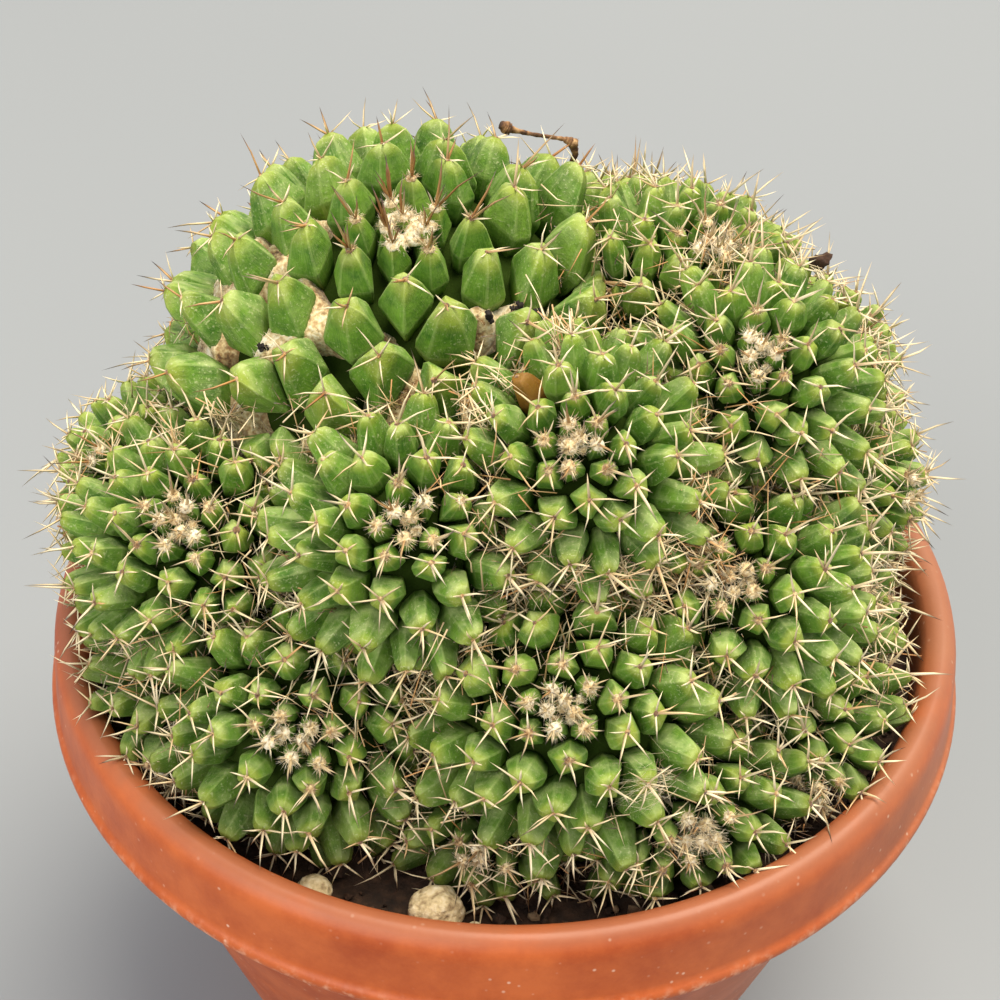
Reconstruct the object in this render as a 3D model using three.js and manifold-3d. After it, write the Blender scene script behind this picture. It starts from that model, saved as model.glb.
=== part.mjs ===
// Clump of Mammillaria mystax in a round terracotta-coloured plastic pot, with its soil and pumice.
// Millimetres, +Z up. The origin is the middle of the pot's underside, and -Y is the side that
// faces the viewer.
import * as THREE from 'three';
import { ConvexHull } from 'three/addons/math/ConvexHull.js';
import Module from 'manifold-3d';

const wasm = await Module();
wasm.setup();

const FULL_TURN = 2 * Math.PI;
const GOLDEN_TURN = Math.PI * (3 - Math.sqrt(5));
const DEGREE = Math.PI / 180;

// Clearance left between two neighbouring pieces.
const SEAT_GAP = 0.3;

// Pot: a tapered body with a rolled collar that hangs outside it as a skirt.
const POT_HEIGHT = 135;
const POT_SIDES = 36;
const FOOT_RADIUS = 60;
const FOOT_RING_WIDTH = 6;
const FOOT_RECESS = 1.5;
const CENTRE_PAD_RADIUS = 8;
const WALL = 2.6;
const FLOOR_TOP = 4;
const NECK_RADIUS = 92.5;
const COLLAR_RADIUS = 100;
const COLLAR_DROP = 19;
const COLLAR_BEAD = 2.4;
const CREST_RADIUS = 94.4;
const SKIRT_THICKNESS = 2.4;
const LIP_DEPTH = 6;
const DRAIN_HOLES = 4;
const DRAIN_RADIUS = 4.5;
const DRAIN_SIDES = 8;
const DRAIN_CIRCLE = 34;

// Soil: fills the pot to a little below the rim, lumpy on top in two rings of points by the wall.
const SOIL_LEVEL = 119;
const SOIL_LUMP = 0.7;
const SOIL_RINGS = [83, 74];
const SOIL_WAVES = 5;

// Ground plane and rim slope that the plant keeps clear of.
const PLANT_FLOOR = SOIL_LEVEL + SOIL_LUMP + SEAT_GAP;
const RIM_CLEAR_RADIUS = 91.2;
const RIM_CLEAR_HEIGHT = 133.9;

// Pumice stones lying on the soil by the wall: how round and how low they are.
const STONE_RINGS = 4;
const STONE_SIDES = 7;
const STONE_WIDTH = 1.1;
const STONE_LOWNESS = 0.86;
const STONE_LEAST = 0.82;
const STONE_SWELL = 0.36;
const STONES = [
  { name: 'pumice_large', x: -11.5, y: -81.2, size: 4.8, seed: 3 },
  { name: 'pumice_small', x: -4.2, y: -84, size: 1.8, seed: 8 },
  { name: 'pumice_left', x: -35, y: -76.5, size: 3.2, seed: 12 },
];

// Stems stand in plain round wells in the soil, under the heads that rest on the ground.
const STEM_SIDES = 8;
const STEM_RADIUS = 8;
const STEM_SUNK = 6;
const STEM_REACH_UP = 8;
const STEM_CLEARANCE = 0.2;
const GROUNDED_WITHIN = 0.5;

// Tubercles: length, the share of it where they are widest, how far they fill the way to their
// neighbours there, how much of one may be cut short by a neighbouring head, and the woolly tip.
const TUBERCLE_LENGTH = 8;
const WIDEST_SHARE = 0.36;
const PRESSED_SHARE = 0.8;
const CREASE_SHARE = 0.3;
const TIP_RADIUS = 0.95;
const TIP_CLEARANCE = 0.1;
const LEAST_DEPTH = 2;

// In the crown they stand closer, are shorter and have slimmer tips.
const CROWN_SPACING = 0.52;
const CROWN_SPREAD = 0.75;
const CROWN_LENGTH = 0.55;
const CROWN_TIP = 0.6;

// A lattice of evenly spread tubercles gives each this share of its spacing squared.
const LATTICE_SHARE = 0.866;

// The spiral of tubercles stops this far from the point opposite the crown.
const SPIRAL_STOP = 0.25;

// A tubercle nearer a parting than this share of its spacing bends to stay on its own side, and one
// nearer than the crowded share to another is left out.
const BEND_SHARE = 0.25;
const BEND_ROUNDS = 4;
const BEND_CLEARANCE = 1;
const CROWDED_SHARE = 0.5;

// Spines, true length: how far they lean, and how near they may pass each other.
const SPINE_SHORTEST = 6.5;
const SPINE_LONGEST = 11;
const PAIRS_IN_FIVE = 1;
const SPINE_ATTEMPTS = 8;
const SPINE_FAN = 1.7;
const CROWN_TILT = 0.35;
const SIDE_TILT = 0.62;
const TILT_RANGE = 0.35;
const TILT_STEP = 0.06;
const SPINE_ROOM = 0.2;
const SPINE_PASS = 1;
const SPINE_STEPS = 8;

// Where each head sits: its heart, its radius over the tubercle tips, and the way its crown looks
// (turn from the viewer's side towards +X, lean from upright), with the tip-to-tip spacing.
const HEADS = [
  {
    name: 'mother_head', x: -21, y: 15, z: 180, radius: 53.5, turn: 5, lean: 25, spacing: 18,
    parting: 50, flat: 0.86, length: 11, stem: 10, stemAt: [-8, 6], stemTop: 165,
  },
  { name: 'offset_01', x: 13, y: -32, z: 192, radius: 26, turn: -5, lean: 40, spacing: 13.5 },
  { name: 'offset_02', x: -18, y: -39, z: 179, radius: 27, turn: 0, lean: 40, spacing: 14 },
  { name: 'offset_03', x: 12, y: -50, z: 149, radius: 32.5, turn: -5, lean: 45, spacing: 15 },
  { name: 'offset_04', x: 44, y: -32, z: 163, radius: 27.5, turn: -10, lean: 45, spacing: 14 },
  { name: 'offset_05', x: 46, y: -9, z: 193, radius: 26, turn: -5, lean: 35, spacing: 13.5 },
  { name: 'offset_06', x: 33, y: 20, z: 189, radius: 30, turn: 35, lean: 25, spacing: 13.5 },
  { name: 'offset_07', x: -59, y: -22, z: 159, radius: 29.5, turn: -10, lean: 35, spacing: 14 },
  { name: 'offset_08', x: -38, y: -47, z: 140, radius: 30, turn: 0, lean: 55, spacing: 14.5 },
  { name: 'offset_09', x: 57, y: -37, z: 126, radius: 27.5, turn: 5, lean: 70, spacing: 14 },
  { name: 'offset_10', x: -74, y: 0, z: 160, radius: 21, turn: -30, lean: 45, spacing: 12.5 },
  { name: 'offset_11', x: 68, y: -2, z: 165, radius: 18.5, turn: 55, lean: 70, spacing: 12.5 },
  { name: 'offset_12', x: 62, y: -21, z: 142, radius: 20, turn: 60, lean: 35, spacing: 12.5 },
  { name: 'offset_13', x: 0, y: -58, z: 126, radius: 22, turn: -10, lean: 65, spacing: 13.5 },
  { name: 'offset_14', x: -62, y: -34, z: 129, radius: 25, turn: -5, lean: 90, spacing: 13.5 },
  { name: 'offset_15', x: 35, y: -55, z: 127, radius: 28, turn: 5, lean: 55, spacing: 14 },
  { name: 'offset_16', x: 62, y: 17, z: 180, radius: 19.5, turn: 45, lean: 40, spacing: 12.5 },
  { name: 'offset_17', x: -53, y: 36, z: 156, radius: 27, turn: -125, lean: 55, spacing: 14.5 },
  { name: 'offset_18', x: -40, y: 51, z: 140, radius: 25.5, turn: -140, lean: 80, spacing: 14.5 },
  { name: 'offset_19', x: -14, y: 57, z: 163, radius: 28, turn: -165, lean: 60, spacing: 14.5 },
  { name: 'offset_20', x: 20, y: 43, z: 177, radius: 30, turn: 155, lean: 40, spacing: 14.5 },
  { name: 'offset_21', x: 53, y: 28, z: 153, radius: 26.5, turn: 120, lean: 75, spacing: 14.5 },
  { name: 'offset_22', x: 32, y: 57, z: 142, radius: 25.5, turn: 150, lean: 80, spacing: 14.5 },
  { name: 'offset_23', x: -4, y: 62, z: 136, radius: 25.5, turn: -175, lean: 85, spacing: 14.5 },
  { name: 'offset_24', x: -63, y: 13, z: 140, radius: 25.5, turn: -105, lean: 80, spacing: 14.5 },
  { name: 'offset_25', x: 63, y: 6, z: 136, radius: 23, turn: 95, lean: 80, spacing: 14 },
];

// Sparse directions that close a head where it is pressed against its neighbours or the soil. They
// are spread this far from the tubercles on a head of the stated radius, and nearer on a larger one.
const HIDDEN_DIRECTIONS = 16;
const HIDDEN_SPREAD = 0.62;
const HIDDEN_RADIUS = 22;

// Corners of the creases closer together than this become one.
const CORNER_MERGE = 0.35;

// Half the way to a neighbour is looked for this far round a tubercle, and is at most this wide.
const NEIGHBOUR_ANGLE = 1.2;
const WIDEST_HALF = 0.6;

// A dried flower stalk lies over the top of the mother head. It starts on one tubercle tip and
// runs over a second, and neither of these carries a spine.
const STALK_TUBERCLE = 48;
const SPINELESS = [35, STALK_TUBERCLE];
const STALK_SIDES = 5;
const STALK_PATH = [
  { at: [0.6, 0.6, 1], radius: 0.5 },
  { at: [2.2, 0.4, 4.6], radius: 0.6 },
  { at: [1.5, 0.1, 7.6], radius: 1.2 },
  { at: [-0.6, -0.3, 8.6], radius: 0.5 },
  { at: [-7, -2, 10.4], radius: 0.45 },
  { at: [-10.6, -2.8, 11.6], radius: 0.6 },
  { at: [-12.4, -3.2, 12.4], radius: 1.4 },
  { at: [-13.6, -3.4, 13.2], radius: 0.9 },
];

// A repeatable draw between 0 and 1.
function draw(a, b) {
  const wave = Math.sin(a * 12.9898 + b * 78.233) * 43758.5453;
  return wave - Math.floor(wave);
}

function material(color, roughness) {
  return new THREE.MeshStandardMaterial({ color, roughness, metalness: 0 });
}

function toManifold(geometry) {
  const position = geometry.getAttribute('position');
  const index = geometry.index ? geometry.index.array : [...Array(position.count).keys()];
  const seen = new Map();
  const points = [];
  const renamed = [];
  for (let i = 0; i < position.count; i++) {
    const p = [position.getX(i), position.getY(i), position.getZ(i)];
    const key = p.map((v) => Math.round(v * 1e4)).join(',');
    if (!seen.has(key)) {
      seen.set(key, points.length);
      points.push(p);
    }
    renamed.push(seen.get(key));
  }
  const triangles = [];
  for (let i = 0; i < index.length; i += 3) {
    const [a, b, c] = [renamed[index[i]], renamed[index[i + 1]], renamed[index[i + 2]]];
    if (a !== b && b !== c && c !== a) triangles.push(a, b, c);
  }
  return new wasm.Manifold(new wasm.Mesh({
    numProp: 3,
    vertProperties: new Float32Array(points.flat()),
    triVerts: new Uint32Array(triangles),
  }));
}

function fromManifold(solid) {
  const mesh = solid.getMesh();
  const points = [];
  for (let i = 0; i < mesh.vertProperties.length; i += mesh.numProp) {
    points.push([mesh.vertProperties[i], mesh.vertProperties[i + 1], mesh.vertProperties[i + 2]]);
  }
  return closedGeometry(points, [...mesh.triVerts]);
}

function closedGeometry(points, triangles) {
  const geometry = new THREE.BufferGeometry();
  geometry.setAttribute('position', new THREE.Float32BufferAttribute(points.flat(), 3));
  geometry.setIndex(triangles);
  geometry.computeVertexNormals();
  return geometry;
}

// A turned solid from a profile of (radius, height) pairs that starts and ends on the axis.
function turned(profile, sides) {
  const outline = profile.map(([radius, height]) => new THREE.Vector2(radius, height));
  const geometry = new THREE.LatheGeometry(outline, sides);
  geometry.rotateX(Math.PI / 2);
  return geometry;
}

function roundPost(x, y, bottom, top, radius, sides) {
  const geometry = turned([[0, bottom], [radius, bottom], [radius, top], [0, top]], sides);
  geometry.translate(x, y, 0);
  return toManifold(geometry);
}

function bodyRadius(height) {
  const neckHeight = POT_HEIGHT - COLLAR_DROP;
  return FOOT_RADIUS + (NECK_RADIUS - FOOT_RADIUS) * Math.min(1, height / neckHeight);
}

// Underside, outer wall, under and round the collar's bead, over the crest, and down the inside.
function potProfile() {
  const neck = POT_HEIGHT - COLLAR_DROP;
  const top = POT_HEIGHT;
  const lip = top - LIP_DEPTH;
  const inner = NECK_RADIUS - WALL;
  const skirt = COLLAR_RADIUS - SKIRT_THICKNESS;
  return [
    [0, 0],
    [CENTRE_PAD_RADIUS, 0],
    [CENTRE_PAD_RADIUS + 1, FOOT_RECESS],
    [FOOT_RADIUS - FOOT_RING_WIDTH, FOOT_RECESS],
    [FOOT_RADIUS - FOOT_RING_WIDTH + 1, 0],
    [FOOT_RADIUS, 0],
    [NECK_RADIUS, neck],
    [NECK_RADIUS, lip],
    [skirt - 1, lip],
    [skirt, neck + 0.8],
    [COLLAR_RADIUS - 2, neck],
    [COLLAR_RADIUS, neck + COLLAR_BEAD],
    [COLLAR_RADIUS - 0.9, neck + COLLAR_BEAD + 0.9],
    [COLLAR_RADIUS - 2.2, top - 3.4],
    [COLLAR_RADIUS - 3.8, top - 1],
    [CREST_RADIUS, top],
    [inner + 1.9, top - 0.9],
    [inner + 0.5, top - 3],
    [inner, lip],
    [inner, neck],
    [bodyRadius(FLOOR_TOP) - WALL, FLOOR_TOP],
    [0, FLOOR_TOP],
  ];
}

function pot() {
  let body = toManifold(turned(potProfile(), POT_SIDES));
  for (let i = 0; i < DRAIN_HOLES; i++) {
    const angle = (i / DRAIN_HOLES) * FULL_TURN + Math.PI / POT_SIDES;
    const x = DRAIN_CIRCLE * Math.cos(angle);
    const y = DRAIN_CIRCLE * Math.sin(angle);
    body = body.subtract(roundPost(x, y, -1, FLOOR_TOP + 1, DRAIN_RADIUS, DRAIN_SIDES));
  }
  return fromManifold(body);
}

function soilHeight(radius, angle) {
  const coarse = Math.sin(angle * SOIL_WAVES + radius * 0.3) * Math.cos(radius * 0.21 + angle * 2);
  const fine = draw(Math.round(angle * 40), Math.round(radius)) - 0.5;
  return SOIL_LEVEL + SOIL_LUMP * (0.5 * coarse + fine);
}

function soilBlock() {
  const neck = POT_HEIGHT - COLLAR_DROP;
  const edge = NECK_RADIUS - WALL - SEAT_GAP;
  const wallSlope = (NECK_RADIUS - FOOT_RADIUS) / neck;
  const bottom = FLOOR_TOP + SEAT_GAP;
  const footRadius = bodyRadius(bottom) - WALL - SEAT_GAP * 1.1;
  const rows = [
    { radius: footRadius, height: () => bottom },
    { radius: edge, height: () => neck + SEAT_GAP * wallSlope },
    { radius: edge, height: (angle) => soilHeight(edge, angle) },
    ...SOIL_RINGS.map((radius) => ({ radius, height: (angle) => soilHeight(radius, angle) })),
  ];
  const points = [[0, 0, bottom]];
  for (const row of rows) {
    for (let i = 0; i < POT_SIDES; i++) {
      const angle = (i / POT_SIDES) * FULL_TURN;
      points.push([row.radius * Math.cos(angle), row.radius * Math.sin(angle), row.height(angle)]);
    }
  }
  points.push([0, 0, SOIL_LEVEL]);
  return closedGeometry(points, stackedRows(rows.length, POT_SIDES));
}

// Triangles between a bottom point, rows of equal count and a top point.
function stackedRows(rowCount, sides) {
  const triangles = [];
  const at = (row, i) => 1 + row * sides + (i % sides);
  const last = 1 + rowCount * sides;
  for (let i = 0; i < sides; i++) {
    triangles.push(0, at(0, i + 1), at(0, i));
    for (let row = 0; row + 1 < rowCount; row++) {
      triangles.push(at(row, i), at(row, i + 1), at(row + 1, i + 1));
      triangles.push(at(row, i), at(row + 1, i + 1), at(row + 1, i));
    }
    triangles.push(at(rowCount - 1, i), at(rowCount - 1, i + 1), last);
  }
  return triangles;
}

function soil(stems) {
  let block = toManifold(soilBlock());
  const depth = SOIL_LEVEL - STEM_SUNK - SEAT_GAP;
  for (const stem of stems) {
    const radius = stem.radius + SEAT_GAP;
    block = block.subtract(roundPost(stem.x, stem.y, depth, PLANT_FLOOR + 1, radius, STEM_SIDES));
  }
  return fromManifold(block);
}

function pumice(stone) {
  const points = [[0, 0, -1]];
  for (let row = 1; row <= STONE_RINGS; row++) {
    const polar = Math.PI * (1 - row / (STONE_RINGS + 1));
    for (let i = 0; i < STONE_SIDES; i++) {
      const angle = ((i + 0.5 * (row % 2)) / STONE_SIDES) * FULL_TURN;
      const swell = STONE_LEAST + STONE_SWELL * draw(stone.seed + row, i);
      const flat = Math.sin(polar) * swell;
      points.push([flat * Math.cos(angle), flat * Math.sin(angle), Math.cos(polar) * swell]);
    }
  }
  points.push([0, 0, 1]);
  const height = stone.size * STONE_LOWNESS;
  const lift = SOIL_LEVEL + SOIL_LUMP + SEAT_GAP * 0.5 + height;
  const placed = points.map(([x, y, z]) => [
    stone.x + x * stone.size * STONE_WIDTH,
    stone.y + y * stone.size,
    lift + z * height,
  ]);
  return closedGeometry(placed, stackedRows(STONE_RINGS, STONE_SIDES));
}

function driedStalk() {
  const cell = cellOf(HEADS[0]);
  const support = tubercles(cell).find((site) => site.number === STALK_TUBERCLE);
  const seat = heart(cell.head).addScaledVector(support.direction, support.top + SEAT_GAP);
  const path = STALK_PATH.map((step) => seat.clone().add(new THREE.Vector3(...step.at)));
  const rows = [[seat.x, seat.y, seat.z]];
  STALK_PATH.forEach((step, row) => {
    const before = path[row - 1] ?? seat;
    const after = path[row + 1] ?? path[row];
    const along = after.clone().sub(before).normalize();
    const side = new THREE.Vector3(0, 1, 0).cross(along).normalize();
    const front = new THREE.Vector3().crossVectors(along, side);
    for (let i = 0; i < STALK_SIDES; i++) {
      const turn = (i / STALK_SIDES) * FULL_TURN;
      const point = path[row].clone().addScaledVector(side, step.radius * Math.cos(turn))
        .addScaledVector(front, step.radius * Math.sin(turn));
      rows.push([point.x, point.y, point.z]);
    }
  });
  const end = path.at(-1).clone().lerp(path.at(-2), -0.5);
  rows.push([end.x, end.y, end.z]);
  return closedGeometry(rows, stackedRows(STALK_PATH.length, STALK_SIDES));
}

function heart(head) {
  return new THREE.Vector3(head.x, head.y, head.z);
}

function crownFrame(head) {
  const turn = head.turn * DEGREE;
  const lean = head.lean * DEGREE;
  const up = new THREE.Vector3(
    Math.sin(turn) * Math.sin(lean),
    -Math.cos(turn) * Math.sin(lean),
    Math.cos(lean),
  );
  const side = new THREE.Vector3(Math.cos(turn), Math.sin(turn), 0);
  return { up, side, front: new THREE.Vector3().crossVectors(up, side) };
}

// The flat partings between a head and the heads it is pressed against.
function partings(head) {
  const own = head.parting ?? head.radius;
  const planes = [];
  for (const other of HEADS) {
    if (other === head) continue;
    const away = heart(other).sub(heart(head));
    const distance = away.length();
    const theirs = other.parting ?? other.radius;
    const reach = (distance * distance + own * own - theirs * theirs) / (2 * distance);
    if (reach < head.radius * 1.3) {
      planes.push({ normal: away.divideScalar(distance), reach: reach - SEAT_GAP / 2 });
    }
  }
  return planes;
}

// The space one head grows in.
function cellOf(head) {
  return { head, frame: crownFrame(head), planes: partings(head) };
}

// Room left at a point before it meets a parting, the soil or the slope over the rim.
function room({ head, planes }, offset) {
  let least = head.z + offset.z - PLANT_FLOOR;
  for (const plane of planes) least = Math.min(least, plane.reach - plane.normal.dot(offset));
  const out = Math.hypot(head.x + offset.x, head.y + offset.y);
  const slope = (RIM_CLEAR_RADIUS - out + (head.z + offset.z - RIM_CLEAR_HEIGHT)) * Math.SQRT1_2;
  return Math.min(least, slope);
}

// How far a ray from the heart runs before the room is used up.
function reachAlong(cell, direction, wanted) {
  const at = (distance) => direction.clone().multiplyScalar(distance);
  if (room(cell, at(wanted)) >= 0) return wanted;
  let low = 0;
  let high = wanted;
  for (let i = 0; i < 24; i++) {
    const middle = (low + high) / 2;
    if (room(cell, at(middle)) >= 0) low = middle;
    else high = middle;
  }
  return low;
}

function tipRadius({ head, frame }, direction) {
  const flat = head.flat ?? 1;
  const rise = direction.dot(frame.up) / flat;
  const spread = 1 - direction.dot(frame.up) ** 2;
  return head.radius / Math.sqrt(rise * rise + spread);
}

// The direction at an angle from one axis, turned round it from a first side towards a second.
function leaning(axis, first, second, angle, turn) {
  return axis.clone().multiplyScalar(Math.cos(angle))
    .addScaledVector(first, Math.sin(angle) * Math.cos(turn))
    .addScaledVector(second, Math.sin(angle) * Math.sin(turn));
}

// Tubercle directions: a golden-angle spiral from the crown, tight there and wider further out.
function spiral(cell) {
  const { head, frame } = cell;
  const found = [];
  const firstTurn = head.turn;
  let polar = 0.5 * CROWN_SPACING * head.spacing / head.radius;
  for (let i = 0; polar < Math.PI - SPIRAL_STOP; i++) {
    const turn = i * GOLDEN_TURN + firstTurn;
    const direction = leaning(frame.up, frame.side, frame.front, polar, turn);
    const grown = CROWN_SPACING + (1 - CROWN_SPACING) * Math.min(1, polar / CROWN_SPREAD);
    const spacing = head.spacing * grown;
    found.push({ direction, spacing, grown, polar, number: i });
    const circle = FULL_TURN * tipRadius(cell, direction) ** 2 * Math.sin(polar);
    polar += (spacing * spacing * LATTICE_SHARE) / circle;
  }
  return found;
}

// Moves a tip that would cross a parting back to its own side.
function bentClear({ planes }, offset) {
  const moved = offset.clone();
  for (let round = 0; round < BEND_ROUNDS; round++) {
    for (const plane of planes) {
      const short = BEND_CLEARANCE - (plane.reach - plane.normal.dot(moved));
      if (short > 0) moved.addScaledVector(plane.normal, -short);
    }
  }
  return moved;
}

function tubercles(cell) {
  const kept = [];
  for (const site of spiral(cell)) {
    const grownLength = CROWN_LENGTH + (1 - CROWN_LENGTH) * site.grown;
    const length = (cell.head.length ?? TUBERCLE_LENGTH) * grownLength;
    const full = tipRadius(cell, site.direction);
    const tip = site.direction.clone().multiplyScalar(full);
    const spare = room(cell, tip);
    if (spare > -BEND_SHARE * site.spacing && spare < BEND_CLEARANCE) {
      site.direction = bentClear(cell, tip).normalize();
    }
    const reach = reachAlong(cell, site.direction, full);
    if (reach < full - CREASE_SHARE * length) continue;
    const near = (CROWDED_SHARE * site.spacing) / full;
    if (kept.some((other) => other.direction.angleTo(site.direction) < near)) continue;
    const top = Math.min(full, reach - TIP_CLEARANCE);
    kept.push({ ...site, top, base: full - length, tubercle: true });
  }
  return kept;
}

function hiddenSites({ head, frame }, kept) {
  const apart = HIDDEN_SPREAD * Math.min(1, HIDDEN_RADIUS / head.radius);
  const down = frame.up.clone().negate();
  const found = [];
  for (let i = 0; i < HIDDEN_DIRECTIONS; i++) {
    const polar = Math.acos(1 - (2 * i + 1) / HIDDEN_DIRECTIONS);
    const direction = leaning(down, frame.side, frame.front, polar, i * GOLDEN_TURN + 1);
    const nearest = Math.min(...kept.map((site) => site.direction.angleTo(direction)));
    if (nearest > apart) found.push({ direction, tubercle: false });
  }
  return found;
}

// The creases: one corner for every three neighbouring sites.
function creaseCorners(sites) {
  const points = sites.map((site) => site.direction.clone());
  const numberOf = new Map(points.map((point, i) => [point, i]));
  const hull = new ConvexHull().setFromPoints(points);
  return hull.faces.map((face) => {
    const members = [];
    let edge = face.edge;
    do {
      members.push(numberOf.get(edge.vertex.point));
      edge = edge.next;
    } while (edge !== face.edge);
    return { direction: face.normal.clone().normalize(), members };
  });
}

function cornerPoint(cell, corner, sites) {
  const around = corner.members.map((i) => sites[i]).filter((site) => site.tubercle);
  const depths = around.map((site) => Math.min(site.base, site.top - LEAST_DEPTH));
  const wanted = Math.min(tipRadius(cell, corner.direction) - LEAST_DEPTH, ...depths);
  return corner.direction.clone().multiplyScalar(reachAlong(cell, corner.direction, wanted));
}

// Corners that nearly touch are joined, so that no sliver is left.
function joinedCorners(corners, points) {
  const name = corners.map((_, i) => i);
  const root = (i) => (name[i] === i ? i : (name[i] = root(name[i])));
  const bySide = new Map();
  corners.forEach((corner, i) => {
    for (let k = 0; k < 3; k++) {
      const pair = [corner.members[k], corner.members[(k + 1) % 3]].sort((a, b) => a - b).join();
      if (!bySide.has(pair)) bySide.set(pair, []);
      bySide.get(pair).push(i);
    }
  });
  for (const [a, b] of bySide.values()) {
    if (points[a].distanceTo(points[b]) < CORNER_MERGE) name[root(a)] = root(b);
  }
  return corners.map((_, i) => root(i));
}

// Directions in the plane across a site: one away from the crown, one sideways.
function acrossSite(frame, direction) {
  const away = direction.clone().multiplyScalar(direction.dot(frame.up)).sub(frame.up);
  if (away.length() < 1e-6) away.copy(frame.side);
  away.normalize();
  return { away, side: new THREE.Vector3().crossVectors(direction, away) };
}

// Half the way to the neighbours, as an angle, when leaving a site in a given direction.
function halfWay(site, sites, across, turn) {
  const leaving = leaning(site.direction, across.away, across.side, Math.PI / 2, turn);
  let least = WIDEST_HALF;
  for (const other of sites) {
    if (other === site) continue;
    const angle = site.direction.angleTo(other.direction);
    if (angle > NEIGHBOUR_ANGLE) continue;
    const along = other.direction.dot(site.direction);
    const towards = other.direction.clone().addScaledVector(site.direction, -along);
    const lined = towards.normalize().dot(leaving);
    if (lined > 0.15) least = Math.min(least, Math.atan(Math.tan(angle / 2) / lined));
  }
  return least;
}

function ringAround(cell, site, across, turns, angleAt, distance) {
  return turns.map((turn) => {
    const direction = leaning(site.direction, across.away, across.side, angleAt(turn), turn);
    return direction.multiplyScalar(reachAlong(cell, direction, distance));
  });
}

function turnOf(point, across) {
  return Math.atan2(point.dot(across.side), point.dot(across.away));
}

// A row of points in order round its site.
function inOrder(row, points, across) {
  return row.map((i) => ({ i, t: turnOf(points[i], across) })).sort((a, b) => a.t - b.t);
}

// Triangles between two closed rows of points round the same site, outer row first.
function band(outer, inner, across, points, triangles) {
  const a = inOrder(outer, points, across);
  const b = inOrder(inner, points, across);
  const turnAt = (row, k) => row[k % row.length].t + FULL_TURN * Math.floor(k / row.length);
  let i = 0;
  let j = 0;
  while (i < a.length || j < b.length) {
    const stepOuter = j >= b.length || (i < a.length && turnAt(a, i + 1) < turnAt(b, j + 1));
    if (stepOuter) {
      triangles.push(a[i % a.length].i, a[(i + 1) % a.length].i, b[j % b.length].i);
      i++;
    } else {
      triangles.push(a[i % a.length].i, b[(j + 1) % b.length].i, b[j % b.length].i);
      j++;
    }
  }
  return b.map((entry) => entry.i);
}

// Triangles from a closed row of points to one in its middle.
function fan(around, middle, across, points, triangles) {
  const order = inOrder(around, points, across);
  order.forEach((entry, k) => triangles.push(entry.i, order[(k + 1) % order.length].i, middle));
}

const RING_TURNS = [0, 0.25, 0.5, 0.75].map((share) => share * FULL_TURN);

// The tip is three-sided under one spine and four-sided under a pair.
function tipTurns(site) {
  const sides = site.number % 5 < PAIRS_IN_FIVE ? 4 : 3;
  return [...Array(sides).keys()].map((i) => ((i + 0.5) / sides) * FULL_TURN);
}

// A spine's tip: it leans off the tubercle to one side, stays in its own head's room and keeps
// clear of the spines already set.
function spineTip(cell, site, across, root, lean, number, spines) {
  const { head } = cell;
  const upright = site.polar < CROWN_TILT ? CROWN_TILT : SIDE_TILT;
  for (let attempt = 0; attempt < SPINE_ATTEMPTS; attempt++) {
    const seed = site.number * 7 + number * 3 + attempt * 11;
    const turn = lean + (draw(seed, head.x + 1) - 0.5) * SPINE_FAN;
    const tilt = upright + TILT_RANGE * draw(seed, head.y + 2) - attempt * TILT_STEP;
    const longer = (SPINE_LONGEST - SPINE_SHORTEST) * draw(seed, head.z + 3);
    const along = leaning(site.direction, across.away, across.side, tilt, turn);
    const tip = root.clone().addScaledVector(along, SPINE_SHORTEST + longer);
    if (room(cell, tip) < SPINE_ROOM) continue;
    const others = spines.filter((other) => other.site !== site);
    if (others.some((other) => nearestPass(root, tip, other) < SPINE_PASS)) continue;
    spines.push({ root, tip, site });
    return tip;
  }
  return null;
}

// Least distance from a spine to another, taken at points along the first.
function nearestPass(root, tip, other) {
  if (root.distanceTo(other.root) > 2.2 * SPINE_LONGEST) return Infinity;
  const line = new THREE.Line3(other.root, other.tip);
  let least = Infinity;
  for (let i = 1; i <= SPINE_STEPS; i++) {
    const point = root.clone().lerp(tip, i / SPINE_STEPS);
    const nearest = line.closestPointToPoint(point, true, new THREE.Vector3());
    least = Math.min(least, nearest.distanceTo(point));
  }
  return least;
}

// Adds one tubercle: its flank from the creases out to the widest ring, its shoulder up to the
// woolly tip, and the spines on that.
function addTubercle(cell, site, sites, around, shape) {
  const { points, triangles } = shape;
  const across = acrossSite(cell.frame, site.direction);
  const add = (list) => list.map((point) => points.push(point) - 1);
  const widest = site.top - (site.top - site.base) * WIDEST_SHARE;
  const halfTurns = (turn) => halfWay(site, sites, across, turn) * PRESSED_SHARE;
  const tipAngle = () => (TIP_RADIUS * (CROWN_TIP + (1 - CROWN_TIP) * site.grown)) / site.top;
  const ring = add(ringAround(cell, site, across, RING_TURNS, halfTurns, widest));
  const tip = add(ringAround(cell, site, across, tipTurns(site), tipAngle, site.top));
  const ringInOrder = band(around, ring, across, points, triangles);
  const tipInOrder = band(ringInOrder, tip, across, points, triangles);
  addSpines(cell, site, across, tipInOrder, shape);
}

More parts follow.
